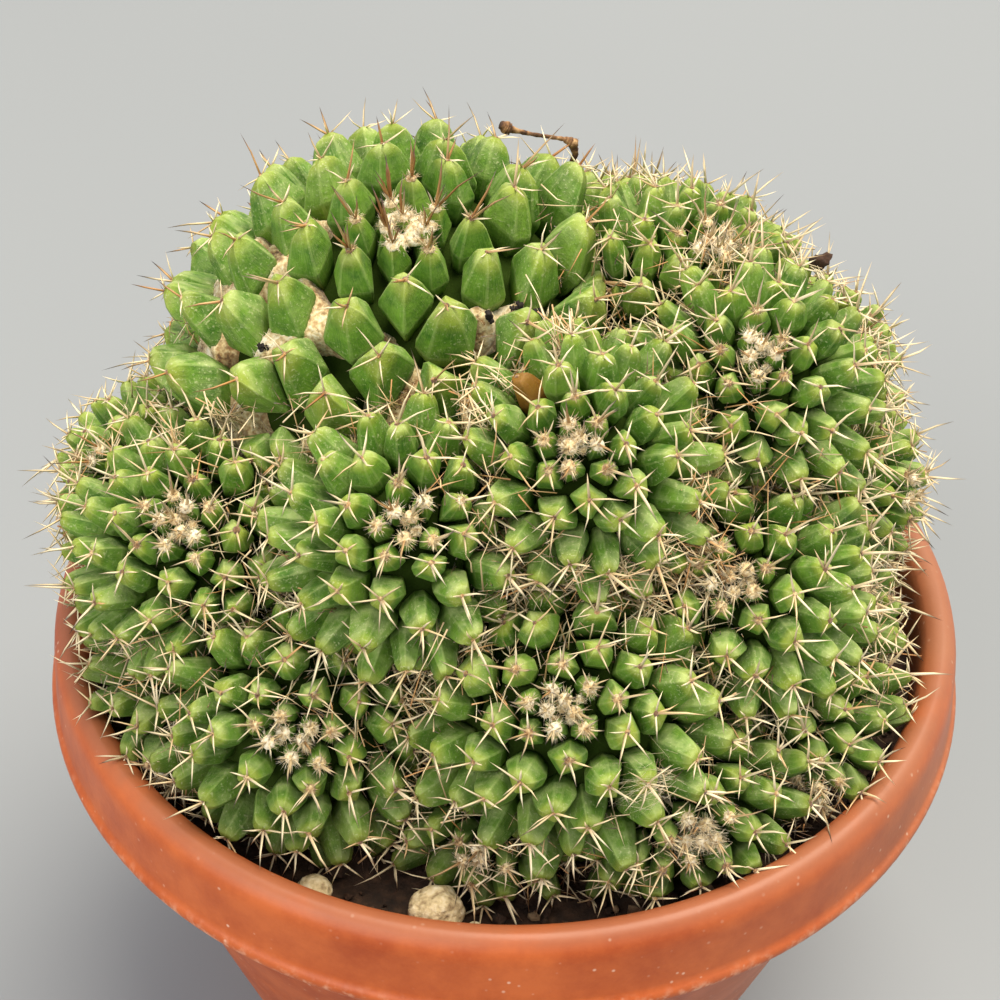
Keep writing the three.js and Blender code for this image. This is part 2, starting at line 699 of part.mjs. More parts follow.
// One spine stands on a three-sided tip. A four-sided tip is cut corner to corner and a spine
// stands on each half. A spine that finds no room is left out.
function addSpines(cell, site, across, tip, { points, triangles, spines }) {
  const bare = cell.head === HEADS[0] && SPINELESS.includes(site.number);
  const bases = tip.length === 3 ? [tip] : [[tip[0], tip[1], tip[2]], [tip[2], tip[3], tip[0]]];
  bases.forEach((base, number) => {
    const root = base.reduce((sum, i) => sum.add(points[i]), new THREE.Vector3()).divideScalar(3);
    const outward = root.clone().addScaledVector(site.direction, -site.top);
    const lean = tip.length === 3 ? site.number * GOLDEN_TURN * 2 : turnOf(outward, across);
    const end = bare ? null : spineTip(cell, site, across, root, lean, number, spines);
    if (!end) {
      triangles.push(...base);
      return;
    }
    const apex = points.push(end) - 1;
    for (let k = 0; k < 3; k++) triangles.push(base[k], base[(k + 1) % 3], apex);
  });
}

// Adds the plain facets that close a head out of sight.
function addHidden(cell, site, around, { points, triangles }) {
  const across = acrossSite(cell.frame, site.direction);
  const wanted = tipRadius(cell, site.direction) - LEAST_DEPTH;
  const reach = reachAlong(cell, site.direction, wanted);
  const middle = points.push(site.direction.clone().multiplyScalar(reach)) - 1;
  fan(around, middle, across, points, triangles);
}

function headGeometry(cell) {
  const kept = tubercles(cell);
  const sites = [...kept, ...hiddenSites(cell, kept)];
  const corners = creaseCorners(sites);
  const points = corners.map((corner) => cornerPoint(cell, corner, sites));
  const joined = joinedCorners(corners, points);
  const shape = { points, triangles: [], spines: [] };
  sites.forEach((site, number) => {
    const touching = joined.filter((_, i) => corners[i].members.includes(number));
    const around = [...new Set(touching)];
    if (around.length < 3) return;
    if (site.tubercle) addTubercle(cell, site, sites, around, shape);
    else addHidden(cell, site, around, shape);
  });
  const { x, y, z } = cell.head;
  const placed = shape.points.map((point) => [point.x + x, point.y + y, point.z + z]);
  return closedGeometry(placed, shape.triangles);
}

// A stem goes down into the soil under every head that rests on the ground and has room there.
function stemOf(head) {
  const cell = cellOf(head);
  const radius = head.stem ?? STEM_RADIUS;
  const [x, y] = head.stemAt ?? [head.x, head.y];
  const top = head.stemTop ?? Math.min(head.z, PLANT_FLOOR + STEM_REACH_UP);
  const spare = [PLANT_FLOOR + 0.1, top].map((height) => {
    const offset = new THREE.Vector3(x - head.x, y - head.y, height - head.z);
    return room(cell, offset) > 0 ? sideRoom(cell, offset) - radius : -1;
  });
  const down = new THREE.Vector3(0, 0, -1);
  const bottom = head.z - reachAlong(cell, down, head.radius - LEAST_DEPTH);
  const grounded = head.stemAt || bottom < PLANT_FLOOR + GROUNDED_WITHIN;
  return grounded && Math.min(...spare) > STEM_CLEARANCE ? { x, y, radius, top } : null;
}

// Level distance from a point to the nearest parting.
function sideRoom({ planes }, offset) {
  return Math.min(...planes.map((plane) => {
    const level = Math.max(1e-6, Math.hypot(plane.normal.x, plane.normal.y));
    return (plane.reach - plane.normal.dot(offset)) / level;
  }));
}

function plantHead(head) {
  const geometry = headGeometry(cellOf(head));
  const stem = stemOf(head);
  if (!stem) return geometry;
  const foot = SOIL_LEVEL - STEM_SUNK;
  const post = roundPost(stem.x, stem.y, foot, stem.top, stem.radius, STEM_SIDES);
  return fromManifold(toManifold(geometry).add(post));
}

const group = new THREE.Group();

function place(name, geometry, look) {
  const mesh = new THREE.Mesh(geometry, look);
  mesh.name = name;
  group.add(mesh);
}

place('pot', pot(), material(0xc2633c, 0.55));
place('soil', soil(HEADS.map(stemOf).filter(Boolean)), material(0x3a2a20, 0.95));
for (const stone of STONES) place(stone.name, pumice(stone), material(0xd8c9a6, 0.9));
for (const head of HEADS) place(head.name, plantHead(head), material(0x5f9142, 0.5));
place('dried_stalk', driedStalk(), material(0x6b5338, 0.85));

export default group;
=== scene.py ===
# Clump of Mammillaria mystax in a round terracotta-coloured plastic pot, dressed for rendering.
# Shapes are worked out in millimetres, and every mesh is made in metres in the frame's axes.
import math

import bmesh
import bpy
import numpy as np
from mathutils import Matrix, Vector


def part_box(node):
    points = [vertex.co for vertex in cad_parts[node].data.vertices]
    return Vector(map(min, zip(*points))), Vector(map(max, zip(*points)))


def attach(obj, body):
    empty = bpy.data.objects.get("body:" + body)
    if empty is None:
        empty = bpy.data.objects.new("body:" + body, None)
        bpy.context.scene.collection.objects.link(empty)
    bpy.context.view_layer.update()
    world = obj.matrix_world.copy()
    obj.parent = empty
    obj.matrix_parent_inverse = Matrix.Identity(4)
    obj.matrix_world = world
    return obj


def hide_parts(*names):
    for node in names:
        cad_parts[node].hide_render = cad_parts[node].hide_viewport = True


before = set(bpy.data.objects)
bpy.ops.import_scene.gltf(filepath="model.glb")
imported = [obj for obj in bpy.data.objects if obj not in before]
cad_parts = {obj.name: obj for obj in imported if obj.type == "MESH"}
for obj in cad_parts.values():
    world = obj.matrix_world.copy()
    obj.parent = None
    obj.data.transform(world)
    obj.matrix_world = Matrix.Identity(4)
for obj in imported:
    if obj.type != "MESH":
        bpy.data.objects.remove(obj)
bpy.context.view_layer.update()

MM = 0.001
TAU = 2 * math.pi
GOLDEN_TURN = math.pi * (3 - math.sqrt(5))

# Pot and soil, and the ground and the rim slope that the plant keeps clear of, as in the solids.
SEAT_GAP = 0.3
POT_HEIGHT = 135
COLLAR_DROP = 19
NECK_HEIGHT = POT_HEIGHT - COLLAR_DROP
FOOT_RADIUS = 60
FOOT_RING_WIDTH = 6
FOOT_RECESS = 1.5
CENTRE_PAD_RADIUS = 8
WALL = 2.6
FLOOR_TOP = 4
NECK_RADIUS = 92.5
INNER_RADIUS = NECK_RADIUS - WALL
COLLAR_RADIUS = 100
CREST_RADIUS = 94.4
SKIRT_THICKNESS = 2.4
LIP_DEPTH = 6
CORNER_CUT = 0.2
POT_SIDES = 144
DRAIN_HOLES = 4
DRAIN_RADIUS = 4.5
DRAIN_CIRCLE = 34
DRAIN_TURN = math.pi / 64
DRAIN_SIDES = 32
SOIL_LEVEL = 119
SOIL_LUMP = 0.7
SOIL_SIDES = 140
PLANT_FLOOR = SOIL_LEVEL + SOIL_LUMP + SEAT_GAP
RIM_CLEAR_RADIUS = 91.2
RIM_CLEAR_HEIGHT = 133.9

# Tubercles: they stand closer, shorter and with slimmer tips in the crown. Angles are in radians.
CROWN_SPACING = 0.24
CROWN_SPREAD = 0.8
CROWN_LENGTH = 0.5
CROWN_TIP = 0.6
CROWN_DIP = 0.1
LATTICE_SHARE = 0.866
SPIRAL_STOP = 0.25
JITTER_SHARE = 0.09
OUTER_LONGER = 0.08
LENGTH_SPREAD = 0.012
CREASE_SHARE = 0.7
SHORTEST_SHARE = 0.65
BEND_SHARE = 0.25
BENT_CLEARANCE = 1.6
CROWDED_SHARE = 0.52
SEAM_SWELL = 0.09
SEAM_WIDTH = 9
NEIGHBOUR_ANGLE = 1.2
FACING_LEAST = 0.12
TIP_RADIUS = 1.1
YOUNG_BELOW = 0.8
SEARCH_STEPS = 18


def unit(vectors):
    return vectors / np.linalg.norm(vectors, axis=-1, keepdims=True)


def columns(*values):
    """Numbers spread over each other's shapes and set side by side in a last axis."""
    return np.stack(np.broadcast_arrays(*values), axis=-1)


def even_turns(count):
    return TAU * np.arange(count) / count


def round_axis(radii, turns, heights):
    """Places round the pot's axis."""
    return columns(radii * np.cos(turns), radii * np.sin(turns), heights)


def smooth(values, low, high):
    """A soft step from 0 to 1 between two values."""
    share = np.clip((values - low) / (high - low), 0, 1)
    return share * share * (3 - 2 * share)


def waves(places, seed):
    """Smooth, seeded bumps in space, between -1 and 1, from a few crossed sine waves."""
    draws = np.random.default_rng(seed)
    crossed = 7
    total = np.zeros(places.shape[:-1])
    for _ in range(crossed):
        way = draws.normal(0, 1, 3)
        total += np.sin(places @ way + draws.uniform(0, TAU))
    return total / crossed


def leaning(axis, first, second, angle, turn):
    """The direction at an angle from one axis, turned round it from a first side to a second."""
    across = np.cos(turn)[..., None] * first + np.sin(turn)[..., None] * second
    return np.cos(angle)[..., None] * axis + np.sin(angle)[..., None] * across


class Head:
    """One head of the clump: its heart, its radius over the tubercle tips, the way its crown
    looks (turn from the viewer's side towards +X, lean from upright) and its tip-to-tip spacing.
    Then how far it presses on its neighbours, its height as a share of a ball's, and its
    tubercles' length, keel and lean away from the crown."""

    def __init__(
        self, name, heart, radius, turn, lean, spacing,
        parting=None, flat=1.0, length=12.5, keel=0.3, ascent=0.15,
    ):
        self.name = name
        self.heart = np.array(heart, float)
        self.radius = radius
        self.turn = turn
        self.spacing = spacing
        self.parting = parting or radius
        self.flat = flat
        self.length = length
        self.keel = keel
        self.ascent = ascent
        turned, leant = math.radians(turn), math.radians(lean)
        self.side = np.array([math.cos(turned), math.sin(turned), 0.0])
        outward = np.array([math.sin(turned), -math.cos(turned), 0.0])
        self.up = outward * math.sin(leant) + np.array([0.0, 0.0, math.cos(leant)])
        self.front = np.cross(self.up, self.side)

    def tip_radius(self, directions):
        rise = directions @ self.up
        return self.radius / np.sqrt((rise / self.flat) ** 2 + 1 - rise ** 2)

    def tip_places(self, sunk=0.0):
        """The tips of the tubercles, or places sunk below them."""
        return self.heart + self.axes * (self.tops - sunk)[:, None]

    def youth(self, fade):
        """How young each tubercle is, from 0 when it is grown to 1 in the crown."""
        return np.clip((YOUNG_BELOW - self.grown) / fade, 0, 1)

    def away_from_crown(self, directions):
        """The way down the head's side. The nudge stands for it at the very crown."""
        nudge = 1e-6
        return unit((directions @ self.up)[:, None] * directions - self.up + nudge)


MOTHER = Head(
    "mother_head", (-21, 15, 180), 53.5, -5, 14, 15.2,
    parting=50, flat=0.86, length=17, keel=0.4, ascent=0.2,
)
# Each offset's heart, radius, turn, lean and spacing, in the order of their numbers.
OFFSETS = [
    ((13, -32, 192), 26, -5, 40, 9.5),
    ((-18, -39, 179), 27, 0, 40, 10.1),
    ((12, -50, 149), 32.5, -5, 45, 10.4),
    ((44, -32, 163), 27.5, -10, 45, 9.7),
    ((46, -9, 193), 26, -5, 35, 9.5),
    ((33, 20, 189), 30, 35, 25, 9.5),
    ((-59, -22, 159), 29.5, -10, 35, 9.7),
    ((-38, -47, 140), 30, 0, 55, 9.9),
    ((57, -37, 126), 27.5, 5, 70, 9.9),
    ((-74, 0, 160), 21, -30, 45, 8.8),
    ((68, -2, 165), 18.5, 55, 70, 8.6),
    ((62, -21, 142), 20, 60, 35, 8.8),
    ((0, -58, 126), 22, -10, 65, 9.4),
    ((-62, -34, 129), 25, -5, 90, 9.4),
    ((35, -55, 127), 28, 5, 55, 9.9),
    ((62, 17, 180), 19.5, 45, 40, 8.8),
    ((-53, 36, 156), 27, -125, 55, 10.1),
    ((-40, 51, 140), 25.5, -140, 80, 10.1),
    ((-14, 57, 163), 28, -165, 60, 10.1),
    ((20, 43, 177), 30, 155, 40, 10.1),
    ((53, 28, 153), 26.5, 120, 75, 10.1),
    ((32, 57, 142), 25.5, 150, 80, 10.1),
    ((-4, 62, 136), 25.5, -175, 85, 10.1),
    ((-63, 13, 140), 25.5, -105, 80, 10.1),
    ((63, 6, 136), 23, 95, 80, 9.7),
]
HEADS = [MOTHER] + [Head(f"offset_{number:02d}", *sizes) for number, sizes in enumerate(OFFSETS, 1)]


def add_partings(head):
    """The flat partings between a head and the heads it is pressed against."""
    near_share = 1.3
    normals, reaches = [], []
    for other in HEADS:
        if other is head:
            continue
        away = other.heart - head.heart
        distance = np.linalg.norm(away)
        reach = (distance ** 2 + head.parting ** 2 - other.parting ** 2) / (2 * distance)
        if reach < head.radius * near_share:
            normals.append(away / distance)
            reaches.append(reach - SEAT_GAP / 2)
    head.normals = np.array(normals)
    head.reaches = np.array(reaches)


def to_parting(head, offsets):
    """How far points off a head's heart are from its nearest parting."""
    return (head.reaches - offsets @ head.normals.T).min(axis=-1)


def room(head, offsets):
    """Room left at points before they meet a parting, the soil or the slope over the rim."""
    places = head.heart + offsets
    out = np.hypot(places[..., 0], places[..., 1])
    slope = (RIM_CLEAR_RADIUS - out + places[..., 2] - RIM_CLEAR_HEIGHT) * math.sqrt(0.5)
    return np.minimum(np.minimum(to_parting(head, offsets), places[..., 2] - PLANT_FLOOR), slope)


def reach_along(head, directions, wanted):
    """How far rays from the heart run before the room is used up."""
    wanted = np.broadcast_to(wanted, directions.shape[:-1])
    low = np.zeros(directions.shape[:-1])
    high = wanted.copy()
    free = room(head, directions * wanted[..., None]) >= 0
    for _ in range(SEARCH_STEPS):
        middle = (low + high) / 2
        fits = room(head, directions * middle[..., None]) >= 0
        low = np.where(fits, middle, low)
        high = np.where(fits, high, middle)
    return np.where(free, wanted, low)


def spiral(head, draws):
    """Tubercle directions: a golden-angle spiral from the crown, tight there, wider further out."""
    polar = 0.5 * CROWN_SPACING * head.spacing / head.radius
    rows = []
    # The head's own turn only makes each spiral start elsewhere.
    while polar < math.pi - SPIRAL_STOP:
        turn = len(rows) * GOLDEN_TURN + head.turn
        inward = 1 - min(1, polar / CROWN_SPREAD)
        grown = CROWN_SPACING + (1 - CROWN_SPACING) * (1 - inward ** 2)
        spacing = head.spacing * grown
        direction = leaning(head.up, head.side, head.front, np.array(polar), np.array(turn))
        full = head.tip_radius(direction)
        rows.append((*direction, polar, grown, spacing))
        polar += spacing ** 2 * LATTICE_SHARE / (TAU * full ** 2 * math.sin(polar))
    found = np.array(rows)
    shifts = draws.normal(0, JITTER_SHARE, (len(found), 3)) * found[:, 5:6] / head.radius
    return unit(found[:, :3] + shifts), found[:, 3], found[:, 4], found[:, 5]


def bent_clear(head, tips):
    """Tips that would cross a parting, moved back to their own side."""
    rounds = 4
    moved = tips.copy()
    for _ in range(rounds):
        for normal, reach in zip(head.normals, head.reaches):
            short = np.maximum(0, BENT_CLEARANCE - (reach - moved @ normal))
            moved -= short[:, None] * normal
    return moved


def grow_tubercles(head, draws):
    """Keeps the tubercles that have room to stand, and works out their axes and lengths."""
    directions, polar, grown, spacing = spiral(head, draws)
    longer = 1 + OUTER_LONGER * smooth(polar, 0.6, 1.2)
    lengths = head.length * (CROWN_LENGTH + (1 - CROWN_LENGTH) * grown) * longer
    full = head.tip_radius(directions) * (1 + draws.normal(0, LENGTH_SPREAD, len(polar)))
    full *= 1 - CROWN_DIP * (1 - smooth(polar, 0.05, 0.4))
    spare = to_parting(head, directions * full[:, None])
    full *= 1 + SEAM_SWELL * np.clip(1 - spare / SEAM_WIDTH, 0, 1)
    spare = room(head, directions * full[:, None])
    bending = (spare > -BEND_SHARE * spacing) & (spare < BENT_CLEARANCE)
    bent = unit(bent_clear(head, directions * full[:, None]))
    directions = np.where(bending[:, None], bent, directions)
    reach = reach_along(head, directions, full)
    standing = reach >= full - CREASE_SHARE * lengths
    kept = []
    for i in np.flatnonzero(standing):
        near = CROWDED_SHARE * (spacing[i] + spacing[kept]) / 2 / full[i]
        if np.all(directions[kept] @ directions[i] < np.cos(near)):
            kept.append(i)
    head.axes = directions[kept]
    head.polar = polar[kept]
    head.grown = grown[kept]
    head.gap = spacing[kept]
    head.tops = np.minimum(full, reach - 0.1)[kept]
    head.bases = np.minimum(full - lengths, reach - SHORTEST_SHARE * lengths)[kept]
    head.own = draws.random(len(kept))
    head.free_turns = draws.uniform(0, TAU, (len(kept), 1)) + even_turns(FREE_SIDES)
    head.free_turns += draws.normal(0, 0.2, head.free_turns.shape)
    head.away = head.away_from_crown(head.axes)
    head.across = np.cross(head.axes, head.away)
    head.bare = np.zeros(len(kept), bool)


# Rings of a tubercle from its foot in the crease to its woolly tip: the share of the height, and
# the share of the way to the neighbours. The mother's are keeled. The offsets' are blunt when
# young, with a high shoulder, and older ones taper from low down to a longer tip.
KEELED = np.array([[0.0, 0.30, 0.49, 0.55, 0.86, 0.94, 1.0], [0.74, 0.97, 1.05, 1.02, 0.56, 0.40, 0.22]])
BLUNT = np.array([[0.0, 0.34, 0.54, 0.61, 0.87, 0.95, 1.0], [0.92, 0.98, 1.0, 0.96, 0.62, 0.48, 0.28]])
POINTED = np.array([[0.0, 0.24, 0.38, 0.45, 0.85, 0.95, 1.0], [0.86, 0.97, 1.0, 0.95, 0.52, 0.38, 0.22]])
FACETED = np.array([0.4, 0.8, 1.0, 1.0, 1.0, 0.8, 0.2])
RINGS = len(FACETED)
SHOULDER = 2
SHOULDER_EDGE = 0.8
CORNERS = 7
KEELED_CORNERS = 5
CORNER_ROUND = 0.07
CORNERS_APART = 0.4
FINE_TURNS = even_turns(96)
OUTLINE_POWER = 26.0
DIAMOND_POWER = 1.1
FREE_SIDES = 5
FREE_SHARE = 0.53
CORE_SHARE = 0.8


def half_way(head, turns):
    """Half the way to the neighbours, as an angle, for each tubercle and each turn round it."""
    angles = np.arccos(np.clip(head.axes @ head.axes.T, -1, 1))
    np.fill_diagonal(angles, math.pi)
    bearing = np.arctan2(head.across @ head.axes.T, head.away @ head.axes.T)
    facing = np.cos(turns[:, None, :] - bearing[:, :, None])
    near = (angles < NEIGHBOUR_ANGLE)[:, :, None] & (facing > FACING_LEAST)
    flat = np.tan(np.minimum(angles, NEIGHBOUR_ANGLE) / 2)[:, :, None]
    width = np.where(near, np.arctan(flat / np.maximum(facing, FACING_LEAST)), np.inf)
    # A side that no neighbour presses on is flat too, so each outline is a polygon all round.
    facing = np.cos(turns[:, None, :] - head.free_turns[:, :, None])
    free = (FREE_SHARE * head.gap / head.tops)[:, None, None]
    width = np.concatenate([width, free / np.maximum(facing, FACING_LEAST)], axis=1)
    return (width ** -OUTLINE_POWER).sum(axis=1) ** (-1 / OUTLINE_POWER)


def corner_turns(outline, corners):
    """Turns in pairs, one pair round each of the sharpest corners of every outline, so that the
    facets between them stay flat and their edges crisp."""
    rim = outline[..., None] * columns(np.cos(FINE_TURNS), np.sin(FINE_TURNS))
    steps = np.roll(rim, -1, axis=1) - rim
    headings = np.arctan2(steps[..., 1], steps[..., 0])
    bends = (headings - np.roll(headings, 1, axis=1) + math.pi) % TAU - math.pi
    bends = bends + 0.5 * (np.roll(bends, 1, axis=1) + np.roll(bends, -1, axis=1))
    found = []
    for _ in range(corners):
        corner = FINE_TURNS[np.argmax(bends, axis=1)][:, None]
        found += [corner - CORNER_ROUND, corner + CORNER_ROUND]
        apart = np.abs((FINE_TURNS - corner + math.pi) % TAU - math.pi)
        bends = np.where(apart < CORNERS_APART, -math.pi, bends)
    return np.sort(np.concatenate(found, axis=1) % TAU, axis=1)


def parting_angle(head, axes, away, turns, distances):
    """The widest angle off each axis that stays on the head's own side of its partings."""
    narrowest = 0.02
    leaving = np.cos(turns)[..., None] * away[:, None] + np.sin(turns)[..., None] * head.across[:, None]
    ahead = (axes @ head.normals.T)[:, None, :]
    aside = leaving @ head.normals.T
    slope = np.hypot(ahead, aside)
    share = head.reaches[None, None, :] / distances[:, None, None]
    meeting = np.arctan2(aside, ahead) - np.arccos(np.clip(share / slope, -1, 1))
    meeting = np.where((aside > 0) & (slope > share), meeting, math.pi)
    return np.maximum(narrowest, meeting.min(axis=-1))


class Shape:
    """Points, faces and marks of a piece that is being made, in millimetres. Each point has three
    marks, which its material reads. Heads also have the grain of their skin and marked edges."""

    def __init__(self):
        self.points, self.faces, self.marks, self.grain, self.edges = [], [], [], [], []
        self.count = 0

    def add(self, points, faces, marks):
        self.add_copies(points.reshape(1, -1, 3), faces, marks)

    def add_copies(self, points, faces, marks):
        """Many alike forms at once: points (copies, n, 3) and one form's faces."""
        copies, size = points.shape[:2]
        starts = self.count + size * np.arange(copies)[:, None]
        for face in faces:
            self.faces += (starts + np.array(face)).tolist()
        self.points.append(points.reshape(-1, 3))
        self.marks.append(np.broadcast_to(marks, (copies, size, 3)).reshape(-1, 3))
        self.count += copies * size


def sleeve(rings, sides, capped=True):
    """Faces of a sleeve of rings, with a flat face on each end if it is capped."""
    faces = []
    for start in range(0, (rings - 1) * sides, sides):
        for i in range(sides):
            j = (i + 1) % sides
            faces.append((start + i, start + j, start + sides + j, start + sides + i))
    if capped:
        faces.append(tuple(reversed(range(sides))))
        faces.append(tuple(range((rings - 1) * sides, rings * sides)))
    return faces


def diamond(turns):
    """A soft diamond with its corners away from the crown, towards it and to both sides."""
    across = np.abs(np.cos(turns)) ** DIAMOND_POWER + np.abs(np.sin(turns)) ** DIAMOND_POWER
    return across ** (-1 / DIAMOND_POWER)


def tubercle_shapes(head, draws, shape):
    """Every tubercle of a head: a faceted sleeve pressed between its neighbours."""
    count = len(head.axes)
    twist = draws.normal(0, 0.16, (count, 1))
    keel = np.clip(head.keel * draws.uniform(0.7, 1.3, (count, 1)), 0, 1)
    fine = np.broadcast_to(FINE_TURNS, (count, len(FINE_TURNS)))
    outline = half_way(head, fine) * (1 - keel * (1 - diamond(fine - twist)))
    turns = corner_turns(outline, KEELED_CORNERS if head is MOTHER else CORNERS)
    segments = turns.shape[1]
    half = half_way(head, turns)
    drawn = smooth(head.polar, 0.4, 1.0)[:, None]
    rises, shares = BLUNT[:, None] * (1 - drawn) + POINTED[:, None] * drawn
    if head is MOTHER:
        rises, shares = np.repeat(KEELED[:, None], count, axis=1)
    plump = 1 + np.minimum(0, draws.normal(0, 0.04, count))
    tip = TIP_RADIUS * (CROWN_TIP + (1 - CROWN_TIP) * head.grown) / head.tops
    points = np.empty((count, RINGS, segments, 3))
    for ring, faceted in enumerate(FACETED):
        rise = rises[:, ring]
        shift = (head.ascent * (1 - rise) * smooth(head.polar, 0, 0.7))[:, None]
        axes = unit(head.axes + shift * head.away)
        away = unit(head.away - shift * head.axes)
        distance = head.bases + rise * (head.tops - head.bases)
        form = 1 - faceted * keel * (1 - diamond(turns - twist))
        wide = half * (shares[:, ring] * plump)[:, None] * form
        wide = np.minimum(wide, parting_angle(head, axes, away, turns, distance))
        if ring == RINGS - 1:
            wide = np.broadcast_to(tip[:, None], wide.shape)
        directions = leaning(axes[:, None], away[:, None], head.across[:, None], wide, turns)
        reach = reach_along(head, directions, distance[:, None])
        points[:, ring] = directions * reach[..., None]
    size = RINGS * segments
    rise = np.repeat(rises[..., None], segments, axis=2)
    marks = columns(rise, head.grown[:, None, None], head.own[:, None, None])
    shape.add_copies(
        points.reshape(count, size, 3) + head.heart, sleeve(RINGS, segments), marks.reshape(count, size, 3),
    )
    # The grain's step from one tubercle to the next keeps their streaks from being alike.
    along = rise + 7 * np.arange(count)[:, None, None]
    shape.grain.append(columns(np.cos(turns)[:, None], np.sin(turns)[:, None], along).reshape(-1, 3))
    corner = ((np.roll(turns, -1, axis=1) - turns) % TAU < 2.1 * CORNER_ROUND).T.astype(float)
    for ring in range(RINGS - 1):
        shape.edges.append(np.maximum(corner, SHOULDER_EDGE if ring == SHOULDER else 0).ravel())
    shape.edges.append(np.zeros(2 * count))


def ball(subdivisions):
    """Directions and faces of an even ball of triangles."""
    grown = bmesh.new()
    bmesh.ops.create_icosphere(grown, subdivisions=subdivisions, radius=1)
    directions = np.array([vert.co[:] for vert in grown.verts])
    faces = [[vert.index for vert in face.verts] for face in grown.faces]
    grown.free()
    return unit(directions), faces


def core_shape(head, shape):
    """The body under the tubercles, out to the foot of the creases."""
    directions, faces = ball(5 if head is MOTHER else 4)
    reach = reach_along(head, directions, head.tip_radius(directions) - head.length * CORE_SHARE)
    shape.grain.append(np.zeros_like(directions))
    shape.edges.append(np.zeros(len(faces)))
    # Its rise mark of 0 gives the core the full painted crease shade.
    shape.add(directions * reach[:, None] + head.heart, faces, (0.0, 1.0, 0.5))


def crease_corners(head):
    """The ways to the deepest places of the creases, one for every three neighbouring tubercles."""
    hull = bmesh.new()
    for axis in head.axes:
        hull.verts.new(axis)
    bmesh.ops.convex_hull(hull, input=hull.verts)
    corners = np.array([face.normal[:] for face in hull.faces])
    spans = np.array([face.calc_area() for face in hull.faces])
    hull.free()
    return unit(corners[spans < 2 * (head.spacing / head.radius) ** 2])


# Camera: it stands in front of the pot and looks down on it, 400 mm from the soil's middle.
CAMERA_DISTANCE = 400
CAMERA_TARGET_HEIGHT = 118
CAMERA_ELEVATION = math.radians(44.538)
CAMERA_PITCH = math.radians(4.1973)
CAMERA_YAW = math.radians(-0.28519)
CAMERA_ROLL = math.radians(1.6034)
FOCAL_LENGTH_PX = 1769.9
PICTURE_PX = 1000
SENSOR_MM = 36
DEPTH_PULL = 0.15


def turned(first, second, angle):
    """Two directions square to each other, turned in their plane."""
    return (
        first * math.cos(angle) + second * math.sin(angle),
        second * math.cos(angle) - first * math.sin(angle),
    )


def camera_axes():
    """The camera's right, up and forward directions."""
    right = np.array([1.0, 0.0, 0.0])
    forward = np.array([0.0, math.cos(CAMERA_ELEVATION), -math.sin(CAMERA_ELEVATION)])
    forward, up = turned(forward, np.cross(right, forward), CAMERA_PITCH)
    forward, right = turned(forward, right, CAMERA_YAW)
    right, up = turned(right, up, CAMERA_ROLL)
    return right, up, forward


def camera_place():
    """Where the camera stands, in millimetres."""
    back = CAMERA_DISTANCE * math.cos(CAMERA_ELEVATION)
    lift = CAMERA_DISTANCE * math.sin(CAMERA_ELEVATION) + CAMERA_TARGET_HEIGHT
    return np.array([0.0, -back, lift])


def in_picture(places):
    """Picture coordinates and depths of places in millimetres."""
    right, up, forward = camera_axes()
    seen = places - camera_place()
    depth = seen @ forward
    x = PICTURE_PX / 2 + FOCAL_LENGTH_PX * (seen @ right) / depth
    y = PICTURE_PX / 2 - FOCAL_LENGTH_PX * (seen @ up) / depth
    return columns(x, y), depth


def nearest_to(places, spot):
    """The place that shows nearest to a spot of the picture, of those on the camera's side."""
    shown, depth = in_picture(places)
    off = np.linalg.norm(shown - np.array(spot), axis=-1)
    return int(np.argmin(off + DEPTH_PULL * (depth - depth.min())))


# Needles are spines, which taper and bend a little, and straight hairs. Their rings, from the root,
# are shares of the length and of the thickness. A wool hair is a few hundredths of a millimetre
# thick, and is drawn coarser so that it shows.
NEEDLE_SIDES = 3
SPINE_RINGS = ((0.0, 1.0), (0.55, 0.75))
HAIR_RINGS = ((0.0, 1.0),)
WOOL_RADIUS = 0.07
WOOL_LONGEST = 1.8
WOOL_ROOTED = 0.75
CROWN_WOOL_ANGLE = 0.15
CROWN_WOOL_DEPTH = 1.8


def square_axes(ways):
    """Two directions square to each way."""
    helper = np.where(np.abs(ways[:, 2:3]) < 0.8, [[0.0, 0.0, 1.0]], [[1.0, 0.0, 0.0]])
    first = unit(np.cross(ways, helper))
    return first, np.cross(ways, first)


def add_needles(shape, rings, roots, ways, lengths, bends, radii, tones, darks):
    """Needles of any rings, each a sleeve that closes in a point."""
    first, second = square_axes(ways)
    rises, thicks = np.array(rings).T
    rises = np.append(np.repeat(rises, NEEDLE_SIDES), 1)
    thicks = np.append(np.repeat(thicks, NEEDLE_SIDES), 0)
    turns = np.append(np.tile(even_turns(NEEDLE_SIDES), len(rings)), 0)[:, None]
    rim = np.cos(turns) * first[:, None] + np.sin(turns) * second[:, None]
    points = roots[:, None] + ways[:, None] * (rises * lengths[:, None])[..., None]
    points += bends[:, None] * (rises ** 2)[:, None]
    points += rim * (thicks * radii[:, None])[..., None]
    tip = len(rises) - 1
    last = tip - NEEDLE_SIDES
    faces = sleeve(len(rings), NEEDLE_SIDES, capped=False)
    faces += [(last + i, last + (i + 1) % NEEDLE_SIDES, tip) for i in range(NEEDLE_SIDES)]
    faces.append(tuple(reversed(range(NEEDLE_SIDES))))
    shape.add_copies(points, faces, columns(rises, tones[:, None], darks[:, None]))


def add_hairs(shape, roots, ways, lengths, radius, tones):
    count = len(roots)
    straight = np.zeros((count, 3))
    add_needles(
        shape, HAIR_RINGS, roots, ways, lengths, straight, np.full(count, radius), tones, np.zeros(count),
    )


